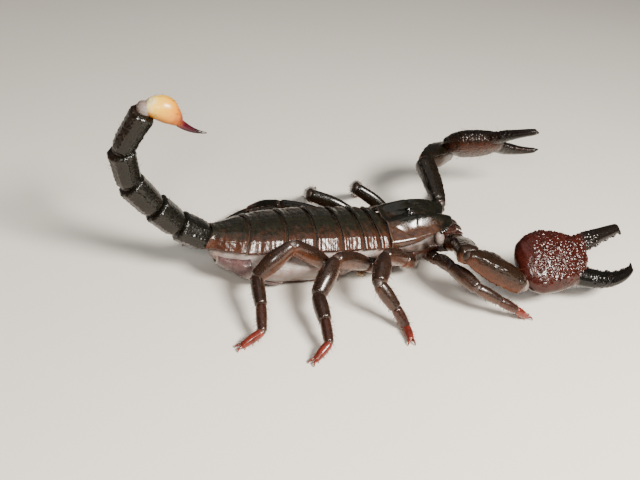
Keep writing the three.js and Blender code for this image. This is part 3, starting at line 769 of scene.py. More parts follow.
def socket(name, at, facing, inner, outer):
    """A low ring of horn round an eye."""
    clear()
    bpy.ops.mesh.primitive_torus_add(major_radius=(inner + outer) / 2, major_segments=28,
                                     minor_radius=(outer - inner) / 2, minor_segments=10)
    piece = bpy.context.object
    piece.name = name
    piece.matrix_world = axes(at, facing) @ Matrix.Rotation(pi / 2, 4, "Y")
    bpy.ops.object.transform_apply()
    bpy.ops.object.shade_smooth()
    return piece


socket_finish = shell_finish("socket horn", "0d0c07", "120d08", "0d0c07", "2a2018", grain=0.5,
                             relief=0.02, gloss=0.42, coat=0, shine=0.2)
SIDE_EYES = [(15.2, 7.9, 13.2), (15.95, 7.5, 13.3), (16.7, 7.1, 13.35)]
for side_name, side in SIDES.items():
    spot = Vector((EYE_PLACE * CARAPACE_LENGTH, side * 1.05, 15.9))
    facing = Vector((0.15, side, 0.75)).normalized()
    eye = bead("main_eye_" + side_name, spot, 0.78)
    placed(eye)
    kept(eye, eye_finish, "eye", "eye_median_" + side_name)
    main_rim = socket("main_eye_socket_" + side_name, spot + facing * 0.12, facing, 0.62, 1.0)
    beads = []
    rims = []
    facing = Vector((0.5, side, 0.35)).normalized()
    for x, y, z in SIDE_EYES:
        beads.append(bead("side_eye", (x, side * y, z), 0.44, 16))
        rims.append(socket("side_socket", Vector((x, side * y, z)) + facing * 0.02, facing,
                           0.32, 0.56))
    eyes = joined("side_eyes_" + side_name, beads)
    placed(eyes)
    kept(eyes, eye_finish, "eye", "eyes_lateral_" + side_name)
    for rim in (main_rim, joined("side_eye_sockets_" + side_name, rims)):
        marked(rim, lambda p: (0.5, 0, 0.9))
        placed(rim)
        kept(rim, socket_finish, "shell")

# ---- jaws -------------------------------------------------------------------------------------
# Two short pincers lie side by side under the front of the carapace. Each has a swollen, glossy
# base and two hooked, toothed fingers of darker horn that meet at their tips.


def on_bow(start, middle, end, t):
    """A point of the curve that three points guide, and the curve's direction there."""
    first = start.lerp(middle, t)
    second = middle.lerp(end, t)
    return first.lerp(second, t), (second - first).normalized()


def bowed(piece, start, middle, end, side=None):
    """Lays a straight piece of length one along a curve that three points guide."""
    curve = [Vector(start), Vector(middle), Vector(end)]
    for point in piece.data.vertices:
        at, way = on_bow(*curve, point.co.x)
        aside = Vector(side) if side else Vector((0, 0, 1)).cross(way)
        aside = (aside - way * aside.dot(way)).normalized()
        point.co = at + aside * point.co.y + way.cross(aside) * point.co.z
    return piece


def prong(name, start, middle, end, thick, tip, around=14, steps=12, side=None, flat=1.0):
    """A tapering curved finger or claw with a blunt root and a fine rounded tip."""
    rings = [(-0.01, 0, 0, thick * 0.3, thick * 0.3 * flat)]
    for i in range(steps + 1):
        t = i / steps
        size = (thick + (tip - thick) * t ** 1.15) / 2
        rings.append((t * 0.985, 0, 0, size, size * flat))
    rings.append((1, 0, 0, tip * 0.22, tip * 0.22 * flat))
    piece = drawn(name, rings, around=around)
    return bowed(piece, start, middle, end, side)


jaw_finish = shell_finish("jaw horn", "1f0f0a", "30150c", "4a2212", "5e3c28", crown_from=-0.3,
                          crown_to=0.8, rim_width=0.04, grain=0.45, relief=0.1, gloss=0.2,
                          coat=0.3)
tooth_finish = shell_finish("dark tooth horn", "150c0a", "2a120c", "2a120c", "3a2015",
                            rim_width=0.02, grain=0.5, relief=0.1, gloss=0.16, coat=0.8)
JAW_LENGTH = 8.6
JAW_SIZES = [(0, 0.5), (0.03, 0.72), (0.14, 0.94), (0.35, 1), (0.6, 1.02), (0.82, 0.98),
             (0.94, 0.86), (0.99, 0.6), (1, 0.3)]
# Where each tooth of the jaws' fingers stands: two on the fixed finger, two on the moving one.
JAW_TEETH = [(22.4, 2.0, 10.2), (23.2, 1.9, 10.0), (22.7, 2.7, 9.6), (23.6, 2.75, 9.4)]


def sized(sizes, t):
    """A width or height of a piece, given at its root, its middle and its end."""
    return through([0, 0.5, 1], sizes, t)


for side_name, side in SIDES.items():
    rings = []
    for t, size in JAW_SIZES:
        wide = sized([3.4, 3.95, 3.2], t) / 2 * size
        high = sized([3.6, 4.2, 3.4], t) / 2 * size
        rings.append((t * JAW_LENGTH, 0, 0, wide, high))
    palm = drawn("jaw_palm_" + side_name, rings, around=20, levels=2)
    for point in palm.data.vertices:
        x, y, z = point.co
        point.co.z += 0.12 * hump(y, 0, 0.5) * smooth(x, 2, 6) * (1 if z > 0 else 0)
        point.co.z -= 0.1 * hump(x, 7.6, 0.35) * (1 if z > 0 else -1)
    marked(palm)
    placed(palm, axes((13.6, side * 2.35, 10.6), (JAW_LENGTH, side * 0.1, -0.3)))
    kept(palm, jaw_finish, "limb", "chelicera_" + side_name)

    fixed = prong("jaw_fixed", (21, side * 1.5, 10.9), (23.6, side * 1.2, 10.9),
                  (24.6, side * 1.5, 9.3), 2.0, 0.5)
    moving = prong("jaw_moving", (21, side * 3.1, 9.9), (23.8, side * 3.6, 9.7),
                   (24.6, side * 2.5, 8.6), 1.9, 0.5)
    parts = [fixed, moving]
    for k, (x, y, z) in enumerate(JAW_TEETH):
        cusp = drawn("jaw_tooth", [(0, 0, 0, 0.32, 0.32), (0.3, 0, 0, 0.26, 0.26),
                                   (0.62, 0, 0, 0.06, 0.06)], around=8)
        cusp.matrix_world = axes((x, side * y, z), (0.4, side * (0.8 if k < 2 else -0.8), -0.5))
        parts.append(cusp)
    fingers = joined("jaw_fingers_" + side_name, parts)
    marked(fingers)
    placed(fingers)
    kept(fingers, tooth_finish, "limb")

# ---- legs -------------------------------------------------------------------------------------
# Eight walking legs of six tubular articles each, thick and flattened near the body and slender
# at the foot, of glossy brown horn. The foot ends in two small curved claws that meet the ground.
LEG_LENGTHS = [5, 14.5, 12, 9.3, 7, 6]
LEG_SCALES = [0.75, 0.82, 0.9, 1]
# The right legs are the stouter ones, but their last two articles are no wider than listed.
FOOT_FROM = 4
LEG_THICKNESSES = {"right": [0.94, 1.1, 1.16, 1.06], "left": [0.84, 0.9, 0.95, 1]}
# How high above the floor the last article ends, and its claws begin.
SOLE = 0.85
LEG_HIPS = [(13.6, 7.8, 5.5), (6.2, 9.7, 5.7), (-3.4, 10, 5.7), (-14, 9.9, 5.7)]
LEG_WIDTHS = [[4, 3.6, 3.2], [2.9, 3.2, 3], [3.3, 4.6, 3.6], [3.3, 3.5, 3], [3, 2.9, 2.4],
              [2.4, 2.4, 1.8]]
LEG_HEIGHTS = [[4, 4, 3.6], [3.8, 4.8, 4.2], [4.2, 5.4, 4.1], [3.6, 3.7, 3], [3.1, 3, 2.5],
               [2.4, 2.3, 1.6]]
LEG_HEADINGS = {
    "right": [[96, 94, 61, 20, 19, 0], [146, 144, 118, 38, 43, 98],
              [157, 156, 132, 93, 95, 148], [150, 170, 172, 95, 99, 168]],
    "left": [[40, 36, 62, 66, 68, 66], [62, 156, 68, 68, 66, 60],
             [95, 158, 71, 71, 70, 68], [35, 152, 133, 206, 206, 198]],
}
LEG_LIFTS = {
    "right": [[21, 21, -12, -26, -26], [32, 29, -14, -47, -52], [24, 24, -30, -11, -23],
              [28, 37, -40, -13, -28]],
    "left": [[4, 5, -14, -13, -13], [55, 32, -28, -30, -35], [55, 18, -29, -28, -29],
             [36, 4, -30, -8, -7]],
}


def heading(turn, lift, side):
    """A direction, given outwards from straight ahead and above the level, in degrees."""
    flat = cos(rad(lift))
    return Vector((cos(rad(turn)) * flat, side * sin(rad(turn)) * flat, sin(rad(lift))))


def squared(angle, across, up):
    """A point of a section between round and square: the lower the powers, the squarer."""
    y, z = sin(angle), cos(angle)
    return copysign(abs(y) ** across, y), copysign(abs(z) ** up, z)


def keeled_profile(angle):
    """A flattened section with a low ridge along its top and its underside."""
    y, z = squared(angle, 1.05, 0.92)
    return y * 0.99, z * (0.94 + 0.07 * hump(sin(angle), 0, 0.2))


ARTICLE_STEPS = [-0.045, -0.03, 0.0, 0.05, 0.13, 0.26, 0.4, 0.55, 0.7, 0.82, 0.89, 0.94, 0.975,
                 1.01, 1.035]
ARTICLE_SIZES = [0.35, 0.64, 0.8, 0.9, 0.95, 0.98, 1, 1, 1, 1, 1.01, 1.01, 0.94, 0.75, 0.35]


def article(name, length, widths, heights, profile=keeled_profile, around=18, arch=0.0, levels=1):
    rings = []
    for t, size in zip(ARTICLE_STEPS, ARTICLE_SIZES):
        wide = sized(widths, t) / 2 * size
        high = sized(heights, t) / 2 * size
        rings.append((t * length, 0, arch * sin(pi * min(1, max(0, t))), wide, high))
    return drawn(name, rings, around=around, profile=profile, levels=levels)


leg_articles = []
for i, length in enumerate(LEG_LENGTHS):
    profile = keeled_profile if i in (1, 2) else ring_profile
    piece = article("leg_article_%d" % (i + 1), length, LEG_WIDTHS[i], LEG_HEIGHTS[i], profile,
                    arch=(0, 0.35, 0.2, 0, 0, 0)[i])
    for point in piece.data.vertices:
        x, y, z = point.co
        if i == 2:
            point.co.z -= 0.25 * hump(x, length * 0.1, length * 0.1) * (1 if z < 0 else 0)
        if i in (3, 4):
            point.co.z += 0.07 * sin(x * 3.1) * (1 if z < 0 else 0.2)
    if i in (3, 4, 5):
        spurs = [piece]
        for y, where in ((-1, 0.9), (1, 0.9), (-1, 0.62), (1, 0.58), (-1, 0.34), (1, 0.3)):
            if i == 3 and where < 0.8:
                continue
            under = sized(LEG_HEIGHTS[i], where) / 2
            spur = drawn("spur", [(0, 0, 0, 0.16, 0.16), (0.3, 0, 0, 0.15, 0.15),
                                  (0.85, 0, 0, 0.04, 0.04)], around=6)
            spur.matrix_world = axes((where * length, y * under * 0.55, -under * 0.75),
                                     (0.75, y * 0.4, -0.6))
            spurs.append(spur)
        piece = joined(piece.name, spurs)
    marked(piece)
    leg_articles.append(piece)

# The near legs' horn is painted a lighter brown than its own colour, as a painted sheen, and
# lighter and more orange underneath, as a painted reflection of a warm floor.
leg_finish = shell_finish("leg horn", "20140d", "432617", "522c17", "463425", crown_from=-0.5,
                          crown_to=0.6, rim_width=0.025, grain=0.5, relief=0.05, gloss=0.26,
                          coat=0.4, cloudy=0.2, dents=0.15)
foot_finish = shell_finish("foot horn", "27140d", "442114", "5c2c1a", "5c3a2a", crown_from=-0.5,
                           crown_to=0.5, rim_width=0.04, grain=0.4, relief=0.05, gloss=0.24,
                           coat=0.35, cloudy=0.2, dents=0.15)
# The last article of each foot and its claws are redder and a little clearer.
sole_finish = shell_finish("sole horn", "561e16", "68291e", "7c4030", "906450", crown_from=-0.6,
                           crown_to=0.7, rim_width=0.05, grain=0.4, relief=0.05, gloss=0.24,
                           coat=0.3, cloudy=0.3, dents=0.15)
# The four left legs are painted nearly black, as painted shade on the far side of the animal.
shaded_leg_finish = shell_finish("shaded left leg horn", "0d0c07", "170f09", "2e170c", "2e241b",
                               crown_from=-0.5, crown_to=0.6, rim_width=0.02, grain=0.5,
                               relief=0.05, gloss=0.22, coat=0.16, cloudy=0.35, dents=0.15)
GROWN = []
for side_name, side in SIDES.items():
    for i, (x, y, z) in enumerate(LEG_HIPS):
        thick = LEG_THICKNESSES[side_name][i]
        spots = [Vector((x, y * side, z))]
        ways = []
        for k, length in enumerate(LEG_LENGTHS):
            reach = length * LEG_SCALES[i]
            if length != LEG_LENGTHS[-1]:
                lift = LEG_LIFTS[side_name][i][k]
            else:
                lift = degrees(asin((SOLE - spots[-1].z) / reach))
            ways.append(heading(LEG_HEADINGS[side_name][i][k], lift, side))
            spots.append(spots[-1] + ways[-1] * reach)
        copies = []
        for k in range(len(LEG_LENGTHS)):
            if k >= FOOT_FROM:
                thick = min(1, thick)
            chosen(leg_articles[k])
            bpy.ops.object.duplicate(linked=False)
            piece = bpy.context.object
            size = Matrix.Diagonal((LEG_SCALES[i], thick, thick, 1))
            piece.matrix_world = axes(spots[k], ways[k]) @ size
            copies.append(piece)
            if k:
                across_size = (LEG_WIDTHS[k - 1][2] + LEG_WIDTHS[k][0]) / 2 * thick
                up_size = (LEG_HEIGHTS[k - 1][2] + LEG_HEIGHTS[k][0]) / 2 * thick
                bend = (ways[k - 1] + ways[k]).normalized()
                # The left legs' joint skin is painted darker than the right legs', as painted
                # shade.
                membrane(spots[k], bend, across_size * 0.8, across_size * 0.74, up_size * 0.74,
                         pale=0 if side > 0 else 0.15)
            else:
                membrane(spots[0], ways[0], 4.2 * thick, 3.7 * thick, 3.7 * thick, pale=0.4)
        ahead = Vector((ways[5].x, ways[5].y, 0)).normalized()
        aside = Vector((-ahead.y, ahead.x, 0))
        claws = []
        for hand in (-1, 1):
            def at_tip(forward, apart, z):
                spot = spots[6] + ahead * forward + aside * apart * hand
                return Vector((spot.x, spot.y, z))

            claws.append(prong("claw", at_tip(-0.7, 0.3, 0.95), at_tip(1.3, 0.75, 1.4),
                               at_tip(1.35, 0.95, 0.1), 0.85, 0.26, around=10, steps=8))
            marked(claws[-1])
        leg = "leg_%d_%s" % (i + 1, side_name)
        thigh = joined(leg + "_thigh", copies[:2])
        shank = joined(leg + "_shank", copies[2:4])
        heel = copies[4]
        heel.name = leg + "_heel"
        sole = joined(leg + "_sole", [copies[5]] + claws)
        for piece in (thigh, shank, heel, sole):
            placed(piece, piece.matrix_world.copy())
        for point in sole.data.vertices:
            point.co.z = max(point.co.z, 0)
        upper_finish = leg_finish if side < 0 else shaded_leg_finish
        kept(thigh, upper_finish, "limb", leg + "_upper")
        kept(shank, upper_finish, "limb", leg + "_middle")
        kept(heel, foot_finish, "claw", leg + "_foot")
        kept(sole, sole_finish, "claw")
        GROWN += [(thigh, 0.16, 1.3), (shank, 0.4, 1.5), (heel, 0.8, 1.4), (sole, 1.0, 1.3)]
for piece in leg_articles:
    bpy.data.objects.remove(piece, do_unlink=True)

# ---- tail -------------------------------------------------------------------------------------
# Five box-like rings of dark olive horn arch up and over, each narrowed at its front joint. Low
# rows of grains run along their corners, and the last ring is the longest and slimmest.
TAIL_LENGTHS = [8.8, 8.3, 9.7, 9.8, 12]
TAIL_WIDTHS = [9, 8.5, 8, 7.4, 6.6]
TAIL_HEIGHTS = [7.8, 7.6, 7.4, 7, 6]
TAIL_LIFTS = [31, 45, 51, 79, 116]
TAIL_SWAYS = [0, 2, 4, 8, 12]
TAIL_KEELS = [36, 82, 122, 158, 202, 238, 278, 324]
TAIL_STEPS = [-0.005, 0, 0.03, 0.07, 0.12, 0.2, 0.3, 0.4, 0.5, 0.6, 0.7, 0.8, 0.88, 0.93,
              0.965, 0.99, 1]
TAIL_SIZES = [0.5, 0.74, 0.83, 0.88, 0.92, 0.96, 0.975, 0.985, 0.99, 0.995, 1, 1.01, 1.03, 1.025,
              0.97, 0.86, 0.6]


def keel_strength(y, z):
    """How close a point of a section lies to one of the tail's rows of grains, from 0 to 1."""
    angle = degrees(atan2(y, z)) % 360
    return max(hump(angle, keel, 6) for keel in TAIL_KEELS)


def tail_profile(angle):
    y, z = squared(angle, 0.99, 0.99)
    swell = 0.96 + 0.045 * keel_strength(sin(angle), cos(angle))
    swell -= 0.06 * hump(degrees(angle), 0, 18)
    return y * swell, z * swell


def granulated(piece, name, weight_rule, size, height):
    """Raises rounded grains of horn over a piece, as strongly as the rule says at each point."""
    group = piece.vertex_groups.new(name="grains")
    for point in piece.data.vertices:
        strength = weight_rule(point.co)
        if strength > 0.01:
            group.add([point.index], min(1, strength), "REPLACE")
    pattern = bpy.data.textures.new(name, "VORONOI")
    pattern.noise_scale = size
    pattern.distance_metric = "DISTANCE_SQUARED"
    pattern.use_color_ramp = True
    for stop, spot, shade in zip(pattern.color_ramp.elements, (0, 0.34), (1, 0)):
        stop.position = spot
        stop.color = (shade, shade, shade, 1)
    refine(piece, "DISPLACE", texture=pattern, texture_coords="LOCAL", strength=height,
           mid_level=0.0, vertex_group="grains")
    piece.vertex_groups.clear()
    bpy.ops.object.shade_smooth()


tail_finish = shell_finish("tail horn", "0b0a05", "0f0b05", "180e06", "1e1810", crown_from=-0.5,
                           crown_to=0.5, rim_width=0.01, grain=0.36, relief=0.12, gloss=0.28,
                           coat=0.25, cloudy=0.2, dents=0.2, shine=0.24)
tail_spots = [Vector((-TRUNK_LENGTH, 0, 12.4))]
for i, length in enumerate(TAIL_LENGTHS):
    sway, lift = rad(TAIL_SWAYS[i]), rad(TAIL_LIFTS[i])
    step = Vector((-cos(sway) * cos(lift), -sin(sway),
                   cos(sway) * sin(lift)))
    tail_spots.append(tail_spots[-1] + step * length)
for i, length in enumerate(TAIL_LENGTHS):
    wide, high = TAIL_WIDTHS[i] / 2, TAIL_HEIGHTS[i] / 2
    rings = [(t * length, 0, 0, wide * size, high * size) for t, size in
             zip(TAIL_STEPS, TAIL_SIZES)]
    ring = drawn("tail_ring_%d" % (i + 1), rings, around=44, profile=tail_profile, levels=2)

    def tail_grains(p):
        t = p.x / length
        body = smooth(t, 0.02, 0.1) * (1 - smooth(t, 0.97, 1))
        return body * (0.25 + 0.75 * keel_strength(p.y, p.z) + 0.4 * hump(t, 0.9, 0.05))

    granulated(ring, "tail grains %d" % (i + 1), tail_grains, size=0.62, height=0.2)
    marked(ring)
    way = (tail_spots[i + 1] - tail_spots[i]).normalized()
    placed(ring, axes(tail_spots[i], way, (0, -1, 0)))
    kept(ring, tail_finish, "shell", "tail_%d" % (i + 1))
    GROWN.append((ring, 0.05, 1.6))
    if i:
        back = (tail_spots[i] - tail_spots[i - 1]).normalized()
        membrane(tail_spots[i], back + way, wide * 1.1, wide * 1.5, high * 1.5, (0, -1, 0),
                 pale=0.0)
membrane(Vector((-47.6, 0, 12)), (1, 0, 0), 3, 7.6, 6.4)

# ---- sting ------------------------------------------------------------------------------------
# The venom bulb is smooth and pale, cream at its neck and amber on its body, with a few bristles.
# The sting grows from it, a curved, very smooth thorn of dark reddish horn.
STING_DROP = 29
VESICLE_LENGTH = 9.6
ACULEUS_LENGTH = 6.9
BULB_STEPS = [0, 0.02, 0.06, 0.12, 0.22, 0.33, 0.46, 0.6, 0.74, 0.85, 0.93, 0.98, 1]
sting_way = Vector((cos(rad(STING_DROP)), -0.08, -sin(rad(STING_DROP)))).normalized()
bulb_place = axes(tail_spots[5] + Vector((0.1, -0.1, 2)), sting_way, (0, -1, 0))
rings = []
for t in BULB_STEPS:
    size = through([0, 0.12, 0.33, 0.6, 0.85, 1], [2.6, 4.8, 6.25, 6.15, 3.9, 2], t) / 2
    if t in (0, 1):
        size *= 0.6
    rings.append((t * VESICLE_LENGTH, 0, -1.1 * sin(pi * t), size * 0.95, size))
bulb = drawn("venom_bulb", rings, around=28, levels=2)
for point in bulb.data.vertices:
    x, y, z = point.co
    along = sin(pi * x / VESICLE_LENGTH)
    point.co.y *= 1 - 0.03 * hump(z, -2.4, 1)
    point.co.z += 0.12 * hump(y, 0, 0.5) * smooth(-z, 1, 2.5) * along
marked(bulb)
placed(bulb, bulb_place)


def ramped(tree, along, *stops):
    """A colour that changes along a piece, through codes at given places."""
    ramp = node(tree, "ValToRGB", {"Fac": along})
    made = ramp.color_ramp.elements
    for stop, (spot, code) in zip(made, (stops[0], stops[-1])):
        stop.position = spot
        stop.color = tint(code)
    for spot, code in stops[1:-1]:
        made.new(spot).color = tint(code)
    return ramp.outputs[0]


bulb_finish, tree = blank_material("pale bulb horn")
parts = lie_of(tree)
cloud = effect(tree, mottle, {"Size": 1.3, "Sharpness": 0.2})["Mask"]
grains = effect(tree, granules, {"Size": 0.7, "Fill": 0.45})["Height"]
along = reckoned(tree, "ADD", parts["X"], ranged(tree, cloud, -0.06, 0.06))
colour = ramped(tree, along, (0, "b4a684"), (0.07, "e0d098"), (0.2, "e4b838"), (0.4, "d49c10"),
                (0.68, "c67c0a"), (0.86, "964a0a"), (1, "5e2010"))
# The bulb's lower side is painted a darker orange-brown, as painted shade.
colour = mixed(tree, masked(tree, parts["Z"], 0.1, 0.95), colour, "a05a0c")
blush = mixed(tree, cloud, (0.9, 0.86, 0.8, 1), (1, 1, 1, 1))
settle(tree, {
    "Base Color": mixed(tree, 1, colour, blush, "MULTIPLY"),
    "Roughness": ranged(tree, cloud, 0.26, 0.4), "Normal": bumped(tree, grains, 0.25, 0.0001),
    "Subsurface Weight": 0.05, "Subsurface Radius": (0.0012, 0.0009, 0.0004),
    "Specular IOR Level": 0.4, "Coat Weight": 0.15, "Coat Roughness": 0.2,
})
kept(bulb, bulb_finish, "bulb", "vesicle")
GROWN.append((bulb, 0.12, 1.3))
membrane(tail_spots[5] + Vector((0.2, -0.05, 0.9)), (0.35, 0, 0.9), 3.4, 4.4, 4.2, (0, -1, 0),
         pale=1)

sting_start = Vector((VESICLE_LENGTH - 0.6, 0, 0.25))
sting_middle = sting_start + Vector((ACULEUS_LENGTH * 0.55, 0, 0.7))
sting_end = sting_start + Vector((ACULEUS_LENGTH + 0.15, 0, -0.8))
sting = prong("sting", sting_start, sting_middle, sting_end, 2.2, 0.3, around=20, steps=16,
              side=(0, 1, 0))
marked(sting)
placed(sting, bulb_place)
sting_finish, tree = blank_material("sting horn")
cloud = effect(tree, mottle, {"Size": 0.5, "Sharpness": 0.2})["Mask"]
colour = ramped(tree, lie_of(tree)["X"], (0, "7a3820"), (0.2, "40101a"), (0.5, "2c0a14"),
                (0.72, "16080a"), (1, "1c0d0a"))
blush = mixed(tree, cloud, (0.8, 0.75, 0.8, 1), (1.15, 1, 1, 1))
settle(tree, {
    "Base Color": mixed(tree, 1, colour, blush, "MULTIPLY"),
    "Roughness": ranged(tree, cloud, 0.12, 0.2), "Specular IOR Level": 0.25,
    "Coat Weight": 0.15, "Coat Roughness": 0.1,
})
kept(sting, sting_finish, "sting", "aculeus")

# ---- arms -------------------------------------------------------------------------------------
# The pincer arms reach forward from the hips beside the jaws: a short ringlike article, then two
# stout ones of glossy brown horn with low toothed ridges, and last the heavy hand.
PALP_BASE = (18, 7.7, 9.4)
PALP_LENGTHS = [5, 15.5, 17]
PALP_WIDTHS = [[4.6, 5.2, 4.6], [4.4, 5.6, 6], [5, 7.6, 5.6]]
PALP_HEIGHTS = [[4.6, 5.2, 4.6], [4.2, 5, 5.4], [5, 6.8, 5.4]]
HAND_AHEAD = 1.5
HAND_INWARD = 2.2
PALP_POSES = {
    "right": {"headings": [80, 107.6, 16], "lifts": [34, 17.8, -26.9], "chela": (-5, 6),
              "size": 1, "roll": 42, "gape": 0, "bow": 5.6, "tip": 6.2},
    "left": {"headings": [12, 92, 39.6], "lifts": [40, 27, -7.5], "chela": (-41, 22.5),
             "size": 0.9, "roll": 34, "gape": 44, "bow": 7.6, "tip": 6.2},
}


def ridged_profile(angle):
    """A boxy section with a low ridge at each of its four corners."""
    y, z = squared(angle, 0.8, 0.8)
    swell = 0.955 + 0.05 * hump(degrees(angle) % 90, 45, 9)
    return y * swell, z * swell


def corner_strength(y, z, wide, high):
    turn = degrees(atan2(y / wide, z / high)) % 90
    return hump(turn, 45, 10)


# Both arms are painted lighter and more orange underneath, as a painted reflection of a warm
# floor, and the left arm is painted darker all over, as painted shade on the far side.
arm_finishes = {
    side_name: shell_finish("%s arm horn" % side_name, top, flank, under, "4a3828",
                            crown_from=-0.4, crown_to=0.5, rim_width=0.02, grain=0.45,
                            relief=0.08, gloss=0.24, coat=0.12, cloudy=0.22, dents=0.2,
                            shine=0.24)
    for side_name, top, flank, under in (("right", "1c120a", "3c1f10", "522c14"),
                                         ("left", "110d07", "27160b", "3a1e0e"))}
hand_places = {}
for side_name, side in SIDES.items():
    pose = PALP_POSES[side_name]
    spots = [Vector((PALP_BASE[0], PALP_BASE[1] * side, PALP_BASE[2]))]
    ways = []
    for k, length in enumerate(PALP_LENGTHS):
        ways.append(heading(pose["headings"][k], pose["lifts"][k], side))
        spots.append(spots[-1] + ways[-1] * length)
    along = heading(pose["chela"][0], pose["chela"][1], side)
    flat = Vector((0, 0, 1)).cross(along).normalized() * -side
    inner = Matrix.Rotation(rad(pose["roll"]) * -side, 3, along) @ flat
    back = inner.cross(along) * side
    turned = Matrix((along, inner, back)).transposed().to_4x4()
    hand_place = Matrix.Translation(spots[3]) @ turned @ Matrix.Scale(pose["size"], 4)
    hand_places[side_name] = hand_place @ Matrix.Translation((HAND_AHEAD, HAND_INWARD, 0))
    for k, part in enumerate(("trochanter", "femur", "patella")):
        profile = ring_profile if k == 0 else ridged_profile
        piece = article("arm_%s_%s" % (part, side_name), PALP_LENGTHS[k], PALP_WIDTHS[k],
                        PALP_HEIGHTS[k], profile, around=24 if k == 0 else 36,
                        arch=(0, 0.25, 0.3)[k], levels=2)
        for point in piece.data.vertices:
            x, y, z = point.co
            t = x / PALP_LENGTHS[k]
            if k == 2:
                point.co.y += side * -0.5 * hump(t, 0.3, 0.16) * (1 if y * side < 0 else 0)
            if k > 0:
                point.co.z -= 0.12 * hump(t, 0.06, 0.03) * (1 if z > 0 else -1)

        def arm_grains(p):
            t = p.x / PALP_LENGTHS[k]
            body = smooth(t, 0.08, 0.16) * (1 - smooth(t, 0.88, 0.95))
            if k == 0:
                return 0.3 * body
            wide = sized(PALP_WIDTHS[k], t) / 2
            high = sized(PALP_HEIGHTS[k], t) / 2
            rows = corner_strength(p.y, p.z, wide, high)
            near_hand = 0.35 * smooth(t, 0.6, 0.85) if k == 2 else 0
            return body * ((0.12 if p.z < 0 else 0.28) + 0.9 * rows + near_hand)

        granulated(piece, "arm grains %s %s" % (part, side_name), arm_grains, size=0.75,
                   height=0.26)
        marked(piece)
        placed(piece, axes(spots[k], ways[k]))
        kept(piece, arm_finishes[side_name], "limb", "palp_%s_%s" % (side_name, part))
        GROWN.append((piece, 0.06, 2.0))
    base = Vector((13.5, 6.5 * side, 8.5))
    membrane(spots[0] - ways[0] * 1.3, (spots[0] - base).normalized() + ways[0], 4.2, 4.6, 4.8,
             pale=0)
    membrane(Vector((15, 7.6 * side, 11.1)), (0.35, 0.2 * side, -1), 4.2, 3.3, 2.8, pale=1)
    membrane(spots[1], ways[0] + ways[1], 3.0, 3.4, 3.4, pale=0)
    membrane(spots[2], ways[1] + ways[2], 3.0, 3.2, 3.2, pale=0)
    membrane(spots[3] + along * 0.3, ways[2] + along, 3.2, 3.9, 3.8, pale=0.75)

# ---- hands ------------------------------------------------------------------------------------
# The hand is one swollen piece of maroon-brown horn with its fixed finger, smooth at its root and
# lower edge and paved with round glossy grains over its back. Its finger's inner edge is toothed.
HAND_STEPS = [-0.9, -0.4, 1.2, 4, 8, 12, 15.5, 18, 19]
HAND_INNER = [4.2, 6.6, 8.9, 10.2, 10.7, 9.6, 7.9, 6.3, 5.4]
HAND_OUTER = [-0.8, -2.7, -4.7, -6.1, -6.4, -6.2, -5.4, -2.6, -0.4]
HAND_THICK = [1.8, 3.6, 5.8, 7.4, 7.9, 7.4, 6.4, 5.2, 4.2]
HAND_RINGS = 26
HAND_VOXEL = 0.19
CHELA_LENGTH = 32.5


def palm_profile(angle):
    return squared(angle, 0.9, 0.9)


def hand_grains(p):
    """Grains cover the back of the palm and fade towards its root, lower edge and finger tip."""
    grown = smooth(p.x, 1.6, 4.2) * (1 - smooth(p.x, 22, 26.5))
    lower = smooth(p.y, -5.6, -2.2) if p.x < 14 else 1
    lower = max(lower, 0.3 * smooth(p.x, 6, 10))
    lobe = 1 - 0.75 * hump(p.x, 1.5, 2.8) * smooth(p.y, 2, 5)
    under = 1 if p.z > -1 else 0.45
    return grown * lower * lobe * under


hand_finish = shell_finish("hand horn", "2a0c06", "3c0f07", "3e1208", "0f0a07", crown_from=-0.6,
                           crown_to=0.4, rim_width=0.22, grain=0.5, relief=0.0, gloss=0.19,
                           coat=0.14, cloudy=0.3, dents=0.2)
# The left hand is painted darker and browner than the right, as painted shade on the far side, and
# its lower edge is painted warmer and lighter, as painted reflected light from a warm floor.
shaded_hand_finish = shell_finish("shaded brown hand horn", "0e0a06", "1c0f08", "3a1c0e", "0f0a07",
                                 crown_from=-0.4, crown_to=0.6, rim_width=0.22, grain=0.5,
                                 relief=0.0, gloss=0.2, coat=0.08, cloudy=0.3, dents=0.2,
                                 shine=0.22)


def rounded(name, pieces, voxel):
    """Several closed pieces run together into one smooth piece."""
    piece = joined(name, pieces)
    refine(piece, "REMESH", mode="VOXEL", voxel_size=voxel)
    refine(piece, "SMOOTH", factor=0.5, iterations=6)
    return piece


def tooth_row(name, curve, place, inner, count, reach, widths, sunk, sizes, turns, largest):
    """A row of round teeth, a little uneven, on the inner edge of a curved finger."""
    teeth = []
    for i in range(count):
        t = reach[0] + reach[1] * i / (count - 1)
        spot, way = on_bow(*curve, t)
        thick = widths[0] + (widths[1] - widths[0]) * t ** 1.15
        spot = spot + Vector((-way.y, way.x, 0)) * (inner * (thick / 2 - sunk))
        size = sizes[0] + sizes[1] * cos(i * turns[0])
        if i == largest:
            size = sizes[2]
        teeth.append(bead("tooth", spot + Vector((0, 0, 0.1 * sin(i * turns[1]))), size, 12))
    row = joined(name, teeth)
    marked(row)
    placed(row, place)
    kept(row, tooth_finish, "shell")


